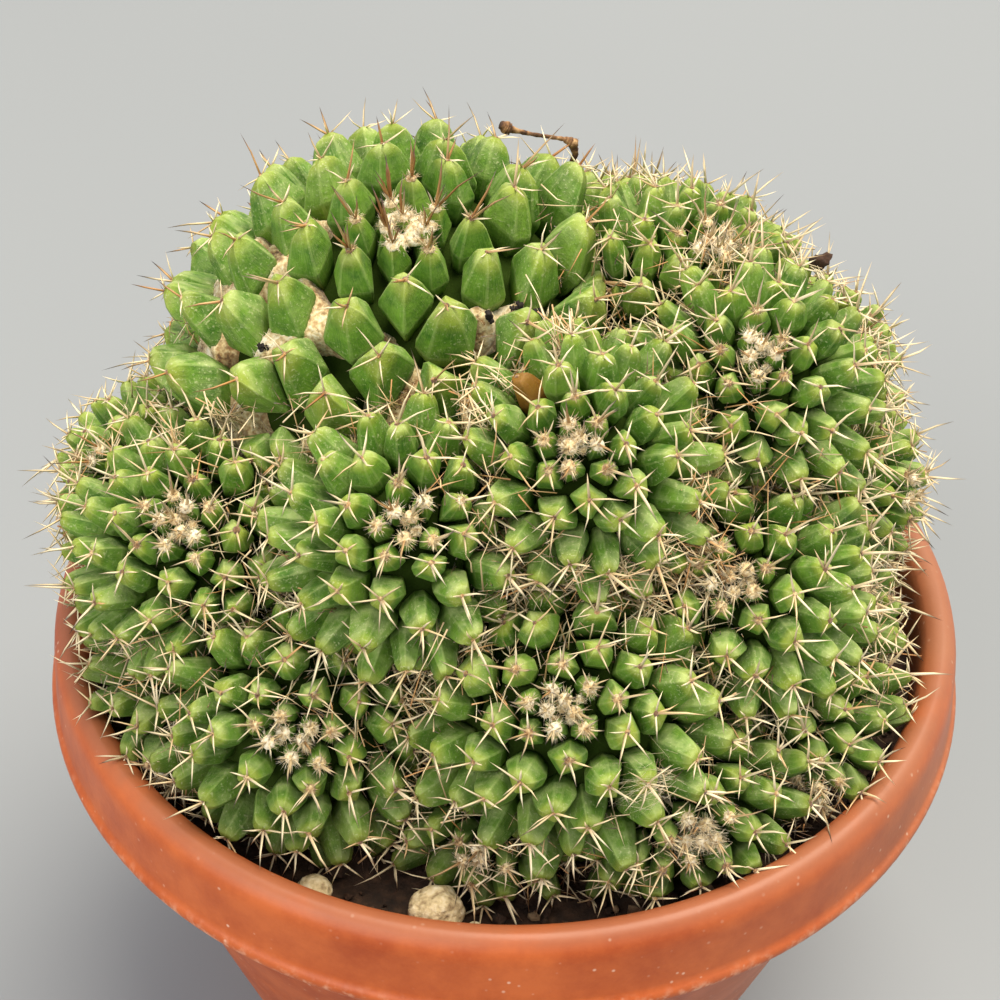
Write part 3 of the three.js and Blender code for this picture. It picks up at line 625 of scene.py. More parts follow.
def head_spines(head, draws, shape):
    """The spines of one head: a star of radials and often one or two longer centrals."""
    mother = head is MOTHER
    youth = head.youth(0.3)
    rows = []
    for i in np.flatnonzero(~head.bare):
        young = youth[i]
        radials = draws.integers(2, 5) if mother else draws.integers(3, 6)
        start = draws.random() * TAU
        for k in range(radials):
            turn = start + TAU * (k + draws.uniform(-0.25, 0.25)) / radials
            tilt = draws.uniform(0.9, 1.4) * (1 - 0.45 * young)
            rows.append((i, turn, tilt, draws.uniform(3.2, 6.8) * (1 - 0.3 * young), 0.25, 0))
        centrals = draws.choice([1, 1, 1, 2] if mother else [0, 1, 1, 1])
        if young > 0.3:
            centrals = draws.integers(2, 5) if mother else draws.integers(1, 3)
        longer = 1.3 if mother and young > 0.3 else 1
        for _ in range(centrals):
            turn = draws.normal(0, 1.1)
            tilt = draws.uniform(0.1, 0.8) * (1 - (0.2 if mother else 0.5) * young)
            rows.append((i, turn, tilt, draws.uniform(5, 10) * longer, 0.25 + 0.06 * longer, 1))
    owner, turns, tilts, lengths, radii, central = np.array(rows).T
    owner = owner.astype(int)
    ways = leaning(head.axes[owner], head.away[owner], head.across[owner], tilts, turns)
    ways = unit(ways + np.array([0, 0, -0.06]))
    if mother:
        upright = 0.7 * smooth(YOUNG_BELOW - head.grown[owner], 0, 0.2)
        ways = unit(ways + upright[:, None] * head.up)
    roots = head.tip_places(0.3)[owner] + ways * 0.3
    bends = draws.normal(0, 0.1, (len(rows), 3)) * lengths[:, None]
    browner = 0.3 if mother else 0
    tones = draws.normal(0.2, 0.18, len(rows)) + (0.25 * youth[owner] + 1.6 * browner) * central
    darks = draws.normal(0.1, 0.25, len(rows)) + 0.8 * youth[owner] + (0.45 + browner) * central
    radii = radii * draws.uniform(0.85, 1.2, len(rows))
    add_needles(
        shape, SPINE_RINGS, roots, ways, lengths, bends, radii, np.clip(tones, 0, 1), np.clip(darks, 0, 1),
    )


def add_wool(shape, places, axes, sizes, tones, draws, hairs=0, flat=0.6, matted=0.0, detail=2):
    """Cushions of wool: flattened lumps, rough all over, with hairs standing out of them or, if
    they are matted, lying on them."""
    directions, faces = ball(detail)
    count = len(places)
    apart = draws.uniform(0, 40, (count, 1, 3))
    rough = 0.8 + 0.22 * waves(directions * 2.5 + apart, 71) + 0.2 * waves(directions * 8 + apart, 72)
    lumps = directions * (rough * sizes[:, None])[..., None]
    lumps -= axes[:, None] * (lumps * axes[:, None]).sum(axis=2, keepdims=True) * (1 - flat)
    shape.add_copies(places[:, None] + lumps, faces, columns(0.0, tones[:, None], 0.0))
    if not hairs:
        return
    owner = np.repeat(np.arange(count), hairs)
    total = len(owner)
    up = axes[owner]
    reach = sizes[owner] * WOOL_ROOTED
    outward = directions[draws.integers(0, len(directions), total)]
    outward = outward - 2 * np.minimum(0, (outward * up).sum(axis=1))[:, None] * up
    roots = places[owner] + outward * reach[:, None]
    roots -= up * ((outward * up).sum(axis=1) * reach * (1 - flat))[:, None]
    sideways = unit(np.cross(outward, draws.normal(0, 1, (total, 3))))
    ways = unit(outward * (1 - matted) + sideways * (0.35 + matted))
    roots -= sideways * (sizes[owner] * 0.25 * matted)[:, None]
    lengths = np.minimum(sizes[owner], WOOL_LONGEST) * draws.uniform(0.6, 1.2, total)
    shades = np.clip(tones[owner] + draws.normal(0, 0.12, total), 0, 1)
    add_hairs(shape, roots, ways, lengths, WOOL_RADIUS, shades)


def head_wool(head, draws, shape):
    """Wool on the areoles, thick and white in the crown and worn to a small tan pad below it."""
    youth = head.youth(0.28)
    sizes = 0.75 + 0.95 * youth + draws.uniform(-0.1, 0.15, len(youth))
    tones = np.clip(0.8 - 0.65 * youth + draws.normal(0, 0.1, len(youth)), 0, 1)
    places = head.tip_places(0.1)
    for woolly, hairs, detail in [(youth > 0.15, 45, 2), (youth <= 0.15, 0, 1)]:
        add_wool(
            shape, places[woolly], head.axes[woolly], sizes[woolly], tones[woolly], draws, hairs,
            detail=detail,
        )


def crown_wool(head, draws, shape):
    """The woolly floor of the crown, where the newest tubercles are still hidden in their wool."""
    wide = head.radius * CROWN_WOOL_ANGLE
    reach = head.tip_radius(head.up) * (1 - CROWN_DIP) - CROWN_WOOL_DEPTH
    spots = 16 if head is MOTHER else 4
    polar = CROWN_WOOL_ANGLE * 0.9 * np.sqrt(draws.random(spots))
    directions = leaning(head.up, head.side, head.front, polar, draws.uniform(0, TAU, spots))
    sizes = draws.uniform(0.18, 0.34, spots) * wide
    tones = draws.uniform(0.05, 0.45, spots)
    add_wool(
        shape, head.heart + directions * reach, directions, sizes, tones, draws, hairs=45, flat=0.5,
        matted=0.3,
    )


# Tangles of dry spines in the creases between the heads, as they show in the picture.
TANGLE_SPOTS_PX = [
    (250, 435), (320, 440), (500, 405), (550, 425), (515, 550), (535, 590), (610, 560), (655, 555),
    (700, 570), (640, 610), (600, 330), (560, 345), (430, 700), (470, 670), (690, 480), (160, 470),
]
TANGLE_REACH_PX = 30
TANGLED_SPINES = 12
STRAY_SPINES = 2
SEAM_FIBRES = 5
SEAM_FIBRE_RADIUS = 0.13


def seam_places(head):
    """Places in the creases of a head that lie along its partings, and the way out of each."""
    corners = crease_corners(head)
    full = head.tip_radius(corners)
    deep = reach_along(head, corners, full - head.length * 0.5)
    spare = to_parting(head, corners * full[:, None])
    seam = (np.abs(spare) < 7) & (deep > full - head.length * 0.9)
    return head.heart + corners[seam] * deep[seam][:, None], corners[seam]


def strewn(outwards, low, high, draws):
    """Ways at random, leant out of their creases by shares between two limits."""
    count = len(outwards)
    lift = outwards * draws.uniform(low, high, (count, 1))
    return unit(lift + unit(draws.normal(0, 1, (count, 3))))


def fallen_spines(places, outwards, draws, shape):
    """Dry spines and threads fallen into the creases, thickest at the tangles."""
    shown, _ = in_picture(places)
    gaps = np.linalg.norm(shown[:, None] - np.array(TANGLE_SPOTS_PX), axis=-1).min(axis=1)
    count = np.where(gaps < TANGLE_REACH_PX, TANGLED_SPINES, STRAY_SPINES)
    owner = np.repeat(np.arange(len(places)), count)
    total = len(owner)
    ways = strewn(outwards[owner], -0.1, 0.4, draws)
    lengths = draws.uniform(5, 13, total)
    lift = draws.uniform(1, 7, (total, 1))
    roots = places[owner] + outwards[owner] * lift - ways * (lengths * 0.5)[:, None]
    bends = draws.normal(0, 0.16, (total, 3)) * lengths[:, None]
    radii = draws.uniform(0.12, 0.22, total)
    tones = draws.uniform(0.0, 0.85, total)
    darks = draws.uniform(0, 0.4, total)
    add_needles(shape, SPINE_RINGS, roots, ways, lengths, bends, radii, tones, darks)


def seam_litter(places, outwards, draws, shape):
    """Brown shed wool and fibres that fill the bottom of the creases between heads."""
    owner = np.repeat(np.arange(len(places)), SEAM_FIBRES)
    total = len(owner)
    ways = strewn(outwards[owner], -0.1, 0.6, draws)
    roots = places[owner] + draws.normal(0, 1.6, (total, 3))
    roots += outwards[owner] * draws.uniform(0, 3, (total, 1))
    lengths = draws.uniform(2, 6, total)
    add_hairs(shape, roots, ways, lengths, SEAM_FIBRE_RADIUS, draws.uniform(0.6, 1.0, total))


# Woolly pads with a black middle, left in the mother's creases by spent flowers, and the felt of
# wool round them. Depths are shares of her tubercles' length.
AXIL_PAD_SPOTS_PX = [(288, 356), (317, 393), (358, 335), (395, 362), (478, 328), (524, 343), (525, 291)]
AXIL_PAD_TIGHT = 280
AXIL_PAD_DEPTH = 0.42
AXIL_WOOL_DEPTH = 0.52
WOOL_HIDDEN_DEPTH = 0.9
AXIL_HAIRS = 5000
AXIL_SCAR_RADIUS = 0.95
SCAR_FLAKES = 6
BLOOMED_SIDE = (-0.55, -0.8, 0.2)
DRIED_TUBERCLE_SPOT_PX = (509, 363)
DRIED_TUBERCLE_SUNK = 2.5
DRIED_FLOWERS_PX = [((810, 250), 1.5), ((838, 395), 1.2)]
COBWEB_SPOTS_PX = [(668, 792), (640, 770), (705, 845)]
COBWEB_HAIRS = 110
COBWEB_RADIUS = 0.035


def axil_places(outward, depth):
    """Ways out of the mother's axils, leant like her tubercles, and the places at a share of the
    tubercles' length down."""
    lowered = unit(outward + MOTHER.ascent * depth * MOTHER.away_from_crown(outward))
    wanted = MOTHER.tip_radius(lowered)[:, None] - MOTHER.length * depth
    return lowered, MOTHER.heart + lowered * reach_along(MOTHER, lowered, wanted[:, 0])[:, None]


def axil_wool(pads, draws, shape):
    """The felt of old wool that fills the mother's axils on the side that has bloomed: one rough
    bed that her tubercles stand out of, sunk under her skin where there is no wool."""
    outward, faces = ball(7)
    bloomed = smooth(outward @ unit(np.array(BLOOMED_SIDE)), 0.2, 0.5)
    below_crown = smooth(0.95 - outward @ MOTHER.up, 0, 0.04)
    patchy = smooth(waves(outward * 9, 81) + 0.25, 0, 0.3)
    near_pads = np.exp((outward @ pads.T - 1) * AXIL_PAD_TIGHT).max(axis=1)
    depth = WOOL_HIDDEN_DEPTH + (AXIL_WOOL_DEPTH - WOOL_HIDDEN_DEPTH) * bloomed * below_crown * patchy
    depth += (AXIL_PAD_DEPTH - depth) * near_pads
    lowered, places = axil_places(outward, depth[:, None])
    rough = 0.6 * waves(outward * 45, 82) + 0.3 * waves(outward * 120, 83)
    rough += draws.normal(0, 0.12, len(outward))
    places += lowered * rough[:, None]
    shown = depth < WOOL_HIDDEN_DEPTH - 0.03
    faces = [face for face in faces if shown[face].any()]
    used, faces = np.unique(faces, return_inverse=True)
    tones = np.clip(0.42 + 0.5 * waves(outward * 25, 84) - 0.15 * near_pads, 0, 1)
    shape.add(places[used], faces.reshape(-1, 3), columns(0.0, tones[used], 0.0))
    rooted = draws.choice(np.flatnonzero(depth < WOOL_HIDDEN_DEPTH - 0.2), AXIL_HAIRS)
    ways = unit(lowered[rooted] * 0.5 + unit(draws.normal(0, 1, (AXIL_HAIRS, 3))))
    lengths = draws.uniform(0.6, 1.6, AXIL_HAIRS)
    add_hairs(shape, places[rooted], ways, lengths, WOOL_RADIUS, tones[rooted] - 0.1)


def axil_pads(draws, scar_shape):
    """The pads of wool left in her axils by spent flowers: the way out of each, and in its middle
    the dried remains, a few crumpled black flakes."""
    corners = crease_corners(MOTHER)
    lowered, places = axil_places(corners, AXIL_PAD_DEPTH)
    directions, faces = ball(2)
    pads = [nearest_to(places, spot) for spot in AXIL_PAD_SPOTS_PX]
    for i in pads:
        outward = lowered[i]
        for flake in range(SCAR_FLAKES):
            ragged = 0.6 + 0.5 * waves(directions * 4, 90 + flake)
            ragged += draws.normal(0, 0.1, len(directions))
            scar = directions * ragged[:, None] * AXIL_SCAR_RADIUS
            scar -= outward * (scar @ outward)[:, None] * 0.6
            middle = places[i] + outward * 0.4 + draws.normal(0, 0.45, 3)
            scar_shape.add(middle + scar, faces, (0.0, 0.04, 0.5))
    return corners[pads]


def dried_flowers(tips, outwards, shape):
    """Withered flowers stuck to the tubercle tips: crumpled dark lumps with a ragged end."""
    directions, faces = ball(3)
    for number, (spot, size) in enumerate(DRIED_FLOWERS_PX):
        i = nearest_to(tips, spot)
        lumps = 1 + 0.5 * waves(directions * 3.0, 40 + number) + 0.6 * waves(directions * 12, 50 + number)
        stretch = directions * lumps[:, None] * size
        stretch += outwards[i] * (stretch @ outwards[i])[:, None] * 0.6
        shape.add(tips[i] + outwards[i] * size * 1.2 + stretch, faces, (0.0, 0.5, 0.5))


def cobweb(tips, outwards, draws, shape):
    """Wisps of cobweb and shed wool draped over the tips."""
    count = COBWEB_HAIRS
    for spot in COBWEB_SPOTS_PX:
        i = nearest_to(tips, spot)
        ahead = unit(np.cross(outwards[i], [0.0, 0.35, 1.0]))
        roots = tips[i] + draws.normal(0, 1.7, (count, 3)) + ahead * draws.uniform(-5, 1, (count, 1))
        ways = unit(ahead + draws.normal(0, 0.35, (count, 3)))
        add_hairs(shape, roots, ways, draws.uniform(3, 8, count), COBWEB_RADIUS, np.full(count, 0.15))


def linear(hex_colour):
    """An sRGB hex colour as linear red, green, blue and alpha."""
    channels = [int(hex_colour[i:i + 2], 16) / 255 for i in (1, 3, 5)]
    return (*[c / 12.92 if c <= 0.04045 else ((c + 0.055) / 1.055) ** 2.4 for c in channels], 1.0)


def add_node(tree, kind, inputs=(), output=0, stops=None, **settings):
    """Adds a node with its settings, its socket values or links, by name or in order, and its
    colour stops. Gives back one of its outputs."""
    node = tree.nodes.new(kind)
    for name, value in settings.items():
        setattr(node, name, value)
    for place, value in inputs.items() if isinstance(inputs, dict) else enumerate(inputs):
        if isinstance(value, bpy.types.NodeSocket):
            tree.links.new(value, node.inputs[place])
        else:
            node.inputs[place].default_value = value
    if stops:
        elements = node.color_ramp.elements
        while len(elements) < len(stops):
            elements.new(0.5)
        for element, (place, colour) in zip(elements, stops):
            element.position = place
            element.color = linear(colour)
    return node.outputs[output] if node.outputs else None


def new_material(name):
    """An empty material, its node tree, its three marks, and places in metres."""
    material = bpy.data.materials.new(name)
    material.use_nodes = True
    tree = material.node_tree
    tree.nodes.clear()
    marks = add_node(tree, "ShaderNodeAttribute", attribute_name="marks")
    first_mark = add_node(tree, "ShaderNodeSeparateColor", {"Color": marks})
    places = add_node(tree, "ShaderNodeTexCoord", output="Object")
    return material, tree, first_mark.node.outputs, places


def per_mm(size):
    """The texture scale whose pattern repeats at a size in millimetres."""
    return 1 / (size * MM)


def overlaid(tree, colour, coats):
    """A colour with coats of other colours over it. The share of a coat is the product of its
    fades: a value, where the fade starts and ends, and the shares there."""
    for coat, curve, *fades in coats:
        share = None
        for fade in fades:
            faded = add_node(tree, "ShaderNodeMapRange", fade, interpolation_type=curve)
            if share:
                faded = add_node(tree, "ShaderNodeMath", (share, faded), operation="MULTIPLY")
            share = faded
        colour = add_node(
            tree, "ShaderNodeMix", {0: share, 6: colour, 7: linear(coat)}, output=2, data_type="RGBA",
        )
    return colour


def finish_material(tree, inputs, relief=None, strength=1.0, depth=0.5):
    """Ends a material: its relief, with a depth in millimetres, its shader and the output."""
    if relief:
        inputs["Normal"] = add_node(
            tree, "ShaderNodeBump", {"Height": relief, "Strength": strength, "Distance": depth * MM},
        )
    shader = add_node(tree, "ShaderNodeBsdfPrincipled", inputs)
    add_node(tree, "ShaderNodeOutputMaterial", {"Surface": shader})


def cactus_skin():
    """Cactus epidermis under a waxy cuticle: satin, a little translucent, yellower at the tips and
    ridges, finely streaked along each tubercle, with lime specks where it has often been watered.
    Shade in the creases and low over the soil is painted in, and so is a sheen on faces that look up."""
    material, tree, (rise, grown, own), places = new_material("cactus_skin")
    grain = add_node(tree, "ShaderNodeAttribute", output="Vector", attribute_name="grain")
    edge = add_node(tree, "ShaderNodeAttribute", output="Fac", attribute_name="edges")
    facing = add_node(tree, "ShaderNodeNewGeometry", output="Normal")
    upward = add_node(tree, "ShaderNodeSeparateXYZ", (facing,), output="Z")
    height = add_node(tree, "ShaderNodeSeparateXYZ", (places,), output="Z")
    stretched = add_node(tree, "ShaderNodeVectorMath", (grain, (22.0, 22.0, 3.5)), operation="MULTIPLY")
    # Lime specks are a few tenths of a millimetre across, drawn a little coarser so that they show.
    blotches, streaks, bloom_and_sheen, specks, dusty, dents = [
        add_node(
            tree, "ShaderNodeTexNoise",
            {"Vector": vector, "Scale": scale, "Detail": detail, "Roughness": roughness},
        )
        for vector, scale, detail, roughness in [
            (places, per_mm(4), 6, 0.65), (stretched, 1, 4, 0.6), (places, per_mm(3), 6, 0.5),
            (places, per_mm(0.6), 2, 0.6), (places, per_mm(6), 4, 0.5), (places, per_mm(3.5), 2, 0.5),
        ]
    ]
    greens = add_node(
        tree, "ShaderNodeValToRGB", (own,),
        stops=[(0.0, "#34661e"), (0.45, "#4a7c26"), (0.8, "#649034"), (1.0, "#7e9c40")],
    )
    mottled = add_node(
        tree, "ShaderNodeValToRGB", (blotches,), stops=[(0.35, "#2c5412"), (0.65, "#789e34")],
    )
    flesh = add_node(tree, "ShaderNodeMix", {0: 0.6, 6: greens, 7: mottled}, output=2, data_type="RGBA")
    coloured = overlaid(tree, flesh, [
        ("#9cb062", "LINEAR", (streaks, 0.48, 0.72, 0, 0.28)),
        ("#a5a840", "SMOOTHSTEP", (rise, 0.8, 1, 0, 0.5)),
        ("#b4c080", "LINEAR", (edge, 0, 1, 0, 0.17)),
        # Partly real, partly painted light: a thin whitish film of wax and dust on faces that look up,
        # which also serves as a painted sheen where the light from above falls.
        ("#b6c484", "LINEAR", (bloom_and_sheen, 0.4, 0.66, 0.04, 0.6), (upward, 0.1, 0.95, 0.1, 1)),
        # Painted shade: the flesh darkens towards the foot of each tubercle, down in the creases.
        ("#2a3a14", "SMOOTHSTEP", (rise, 0, 0.34, 1, 0)),
        # Lime gathers in dusty patches on grown tubercles, above the creases.
        (
            "#c6cd9c", "LINEAR", (specks, 0.57, 0.7, 0, 0.6), (dusty, 0.33, 0.55, 0.1, 1),
            (grown, 0.7, 1, 0.1, 1), (rise, 0.35, 0.6, 0, 1),
        ),
        # Painted shade darkens and dulls the tubercles low over the soil, and withered ones are brown.
        ("#37451c", "LINEAR", (height, 118 * MM, 160 * MM, 0.65, 0)),
        ("#804a1c", "LINEAR", (own, 1.2, 1.8, 0, 0.85)),
    ])
    relief = streaks
    for finer in (dents, specks):
        relief = add_node(tree, "ShaderNodeMath", (relief, finer), operation="ADD")
    gloss = add_node(tree, "ShaderNodeMapRange", (dusty, 0.3, 0.7, 0.4, 0.6))
    shine = add_node(tree, "ShaderNodeMapRange", (rise, 0.1, 0.5, 0, 0.2))
    finish_material(tree, {
        "Base Color": coloured, "Roughness": gloss, "IOR": 1.45, "Specular IOR Level": shine,
        "Subsurface Weight": 0.1, "Subsurface Radius": (0.6, 1.0, 0.25), "Subsurface Scale": 1.6 * MM,
    }, relief, 0.4)
    return material


def spine_horn():
    """Spines: hard, horn-like fibre, ivory to straw, pinkish brown at the root, some dark-tipped."""
    material, tree, (along, tone, dark), places = new_material("spine_horn")
    body = add_node(
        tree, "ShaderNodeValToRGB", (tone,),
        stops=[(0.0, "#eee0bd"), (0.5, "#dcc396"), (0.8, "#c8965e"), (1.0, "#b07c4a")],
    )
    tipped = overlaid(tree, body, [
        ("#a86c4c", "LINEAR", (along, 0, 0.22, 0.35, 0)),
        ("#2c1b16", "LINEAR", (along, 0.3, 0.85, 0, 1), (dark, 0, 1, 0, 1)),
    ])
    grain = add_node(tree, "ShaderNodeTexNoise", {"Vector": places, "Scale": per_mm(1.5)})
    gloss = add_node(tree, "ShaderNodeMapRange", (grain, 0.3, 0.7, 0.38, 0.6))
    finish_material(tree, {"Base Color": tipped, "Roughness": gloss, "IOR": 1.54})
    return material


def terracotta_polypropylene():
    """Injection-moulded polypropylene, pigmented terracotta: an even satin with a fine orange-peel
    skin, dulled by scuffs and a little dried potting dust. Its crest and its +X side carry a painted sheen."""
    material, tree, (crest, bead, _), places = new_material("terracotta_polypropylene")
    pigment, patches, scuffs, peel = [
        add_node(
            tree, "ShaderNodeTexNoise",
            {"Vector": places, "Scale": per_mm(size), "Detail": detail, "Roughness": roughness},
        )
        for size, detail, roughness in [(24, 7, 0.7), (22, 5, 0.5), (1.8, 4, 0.5), (1.1, 2, 0.5)]
    ]
    base = add_node(tree, "ShaderNodeValToRGB", (pigment,), stops=[(0.36, "#9b4012"), (0.64, "#ba5c27")])
    # Dust grains and scuffs are tenths of a millimetre, drawn a little coarser.
    dust = add_node(tree, "ShaderNodeTexVoronoi", {"Vector": places, "Scale": per_mm(3.1)})
    side = add_node(tree, "ShaderNodeSeparateXYZ", (places,), output="X")
    # A painted sheen makes the crest duller and paler in hue, and a painted pale sheen lies on
    # the +X side, which faces the key light. The bead is rubbed pale.
    worn = overlaid(tree, base, [
        ("#e2c3ac", "LINEAR", (dust, 0.06, 0.15, 0.7, 0), (patches, 0.42, 0.6, 0, 0.9)),
        ("#8c563c", "LINEAR", (patches, 0.1, 0.45, 0, 0.8), (crest, 0, 1, 0, 1)),
        ("#9a6c50", "LINEAR", (patches, 0.1, 0.7, 0, 0.55), (side, 20 * MM, 95 * MM, 0, 1)),
        ("#dcae90", "LINEAR", (scuffs, 0.5, 0.7, 0, 0.6), (bead, 0, 1, 0, 1)),
    ])
    gloss = add_node(tree, "ShaderNodeMapRange", (patches, 0.3, 0.7, 0.38, 0.52))
    shading = {"Base Color": worn, "Roughness": gloss, "IOR": 1.49, "Specular IOR Level": 0.4}
    finish_material(tree, shading, peel, 0.12, 0.3)
    return material


def areole_wool():
    """Areole wool: short matted plant hair, white when young, greyed and browned with age."""
    material, tree, (_, tone, _), places = new_material("areole_wool")
    matted = add_node(tree, "ShaderNodeTexNoise", {"Vector": places, "Scale": per_mm(0.9), "Detail": 5})
    grains = add_node(tree, "ShaderNodeMapRange", (matted, 0.35, 0.65, 0.35, -0.2))
    grainy = add_node(tree, "ShaderNodeMath", (tone, grains), operation="ADD")
    aged = add_node(
        tree, "ShaderNodeValToRGB", (grainy,),
        stops=[(0.0, "#e9dfc6"), (0.35, "#d3bd8e"), (0.75, "#9a7648"), (1.0, "#5f4127")],
    )
    shading = {"Base Color": aged, "Roughness": 0.95, "Sheen Weight": 0.3, "Sheen Roughness": 0.6}
    finish_material(tree, shading, matted, 0.8)
    return material


def grainy_matte(name, grain_size, detail, mixing, stops, roughness, strength, depth):
    """A matte material whose grain is both its colour and its relief. The mark of its tone is
    added to the grain or multiplied with it, if it has one."""
    material, tree, (_, tone, _), places = new_material(name)
    grain = add_node(
        tree, "ShaderNodeTexNoise", {"Vector": places, "Scale": per_mm(grain_size), "Detail": detail},
    )
    mixed = add_node(tree, "ShaderNodeMath", (grain, tone), operation=mixing) if mixing else grain
    colour = add_node(tree, "ShaderNodeValToRGB", (mixed,), stops=stops)
    finish_material(tree, {"Base Color": colour, "Roughness": roughness}, grain, strength, depth)
    return material


def potting_compost():
    """Potting compost of peat, bark and grit: dark, matte and crumbly."""
    stops = [(0.3, "#1f1510"), (0.6, "#3c2a1e"), (0.85, "#5b4230"), (1.0, "#8a7358")]
    return grainy_matte("potting_compost", 2.4, 6, "ADD", stops, 0.95, 1.0, 1.5)


def pumice_stone():
    """Pumice: frothy volcanic glass, pale cream and grey, pitted all over with small bubbles."""
    stops = [(0.3, "#8c7553"), (0.5, "#cdb98f"), (0.75, "#e8dcc0")]
    return grainy_matte("pumice_stone", 1.6, 6, None, stops, 0.9, 1.0, 0.8)


def dried_plant():
    """Dried flower and stalk: papery brown plant fibre, darker in its folds."""
    stops = [(0.1, "#1c120c"), (0.35, "#4a2f1c"), (0.6, "#8a6440"), (0.85, "#b9966a")]
    return grainy_matte("dried_plant", 1.2, 5, "MULTIPLY", stops, 0.85, 0.8, 0.5)


def pale_paper():
    """Seamless studio paper: plain, pale grey and matte, in tones that drift over the better part
    of a metre."""
    material, tree, _, places = new_material("pale_paper")
    drift = add_node(tree, "ShaderNodeTexNoise", {"Vector": places, "Scale": per_mm(833), "Detail": 1})
    grey = add_node(tree, "ShaderNodeValToRGB", (drift,), stops=[(0.3, "#868a8e"), (0.7, "#8b8f93")])
    finish_material(tree, {"Base Color": grey, "Roughness": 0.95, "Specular IOR Level": 0.1})
    return material


def flatten_facets(mesh):
    """Shades each point mostly by its broadest faces, so that facets look flat and edges crisp."""
    normals = np.empty(3 * len(mesh.polygons))
    areas = np.empty(len(mesh.polygons))
    sides = np.empty(len(mesh.polygons), int)
    corners = np.empty(len(mesh.loops), int)
    mesh.polygons.foreach_get("normal", normals)
    mesh.polygons.foreach_get("area", areas)
    mesh.polygons.foreach_get("loop_total", sides)
    mesh.loops.foreach_get("vertex_index", corners)
    pulls = np.repeat(normals.reshape(-1, 3) * areas[:, None], sides, axis=0)
    led = np.stack([np.bincount(corners, pulls[:, k], len(mesh.vertices)) for k in range(3)], axis=1)
    mesh.normals_split_custom_set_from_vertices(unit(led + 1e-15))


def put_in_scene(name, data):
    thing = bpy.data.objects.new(name, data)
    bpy.context.scene.collection.objects.link(thing)
    return thing


def make_piece(name, shape, material, stands_for=(), soft=True):
    """Makes a piece's mesh in metres, with its marks and material, and ties it to the frame."""
    mesh = bpy.data.meshes.new(name)
    mesh.from_pydata(np.concatenate(shape.points) * MM, [], shape.faces)
    marks = np.ones((shape.count, 4))
    marks[:, :3] = np.concatenate(shape.marks)
    for layer, kind, domain, field, values in [
        ("marks", "FLOAT_COLOR", "POINT", "color", [marks]),
        ("grain", "FLOAT_VECTOR", "POINT", "vector", shape.grain),
        ("edges", "FLOAT", "FACE", "value", shape.edges),
    ]:
        if values:
            data = mesh.attributes.new(layer, kind, domain).data
            data.foreach_set(field, np.concatenate(values).astype(np.float32).ravel())
    mesh.polygons.foreach_set("use_smooth", np.full(len(mesh.polygons), soft))
    mesh.materials.append(material)
    mesh.update()
    if shape.edges:
        flatten_facets(mesh)
    piece = put_in_scene(name, mesh)
    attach(piece, "root")
    for node in stands_for:
        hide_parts(node)
    return piece


def body_radius(height):
    return FOOT_RADIUS + (NECK_RADIUS - FOOT_RADIUS) * min(1, height / NECK_HEIGHT)


def pot_profile():
    """Radius and height round the pot's section, from the middle of its underside and back."""
    lip = POT_HEIGHT - LIP_DEPTH
    skirt = COLLAR_RADIUS - SKIRT_THICKNESS
    foot_inside = FOOT_RADIUS - FOOT_RING_WIDTH
    underside = [
        (1, 0), (CENTRE_PAD_RADIUS, 0), (CENTRE_PAD_RADIUS + 1, FOOT_RECESS), (foot_inside, FOOT_RECESS),
        (foot_inside + 1, 0), (FOOT_RADIUS - 1, 0), (FOOT_RADIUS, 1),
    ]
    side = [
        (body_radius(40), 40), (body_radius(80), 80), (NECK_RADIUS, NECK_HEIGHT), (NECK_RADIUS, lip),
        (skirt - 1, lip), (skirt, NECK_HEIGHT + 0.8), (COLLAR_RADIUS - 2, NECK_HEIGHT),
    ]
    collar = [(COLLAR_RADIUS - inward, NECK_HEIGHT + rise) for inward, rise in [
        (0.4, 0.4), (0, 1.2), (0, 2.2), (0.4, 3.0), (1.1, 3.6), (1.7, 9),
        (2.2, COLLAR_DROP - 4.4), (2.9, COLLAR_DROP - 2.2), (4.2, COLLAR_DROP - 0.6),
    ]]
    inside = [
        (CREST_RADIUS, POT_HEIGHT), (INNER_RADIUS + 2.6, POT_HEIGHT - 0.5),
        (INNER_RADIUS + 1.1, POT_HEIGHT - 1.8), (INNER_RADIUS + 0.3, POT_HEIGHT - 4),
        (INNER_RADIUS, lip - 2), (INNER_RADIUS, NECK_HEIGHT), (body_radius(60) - WALL, 60),
        (body_radius(FLOOR_TOP) - WALL, FLOOR_TOP), (1, FLOOR_TOP),
    ]
    return np.array(underside + side + collar + inside, float)


def eased(profile):
    """A profile with its corners cut back."""
    before, after = profile[:-1], profile[1:]
    first = (1 - CORNER_CUT) * before + CORNER_CUT * after
    second = CORNER_CUT * before + (1 - CORNER_CUT) * after
    return np.concatenate([profile[:1], np.stack([first, second], axis=1).reshape(-1, 2), profile[-1:]])


def pot_shape():
    """The pot, with its crest marked for a painted sheen and the bead at its collar's foot for wear."""
    shape = Shape()
    radii, heights = eased(pot_profile()).T[..., None]
    points = round_axis(radii, even_turns(POT_SIDES), heights)
    bead = np.exp(-((heights - NECK_HEIGHT - 1) / 1.6) ** 2) * (radii > COLLAR_RADIUS - 2)
    crest = smooth(heights, POT_HEIGHT - 3, POT_HEIGHT)
    marks = np.repeat(columns(crest, bead, 1.0), POT_SIDES, axis=1)
    shape.add(points, sleeve(len(points), POT_SIDES), marks.reshape(-1, 3))
    return shape


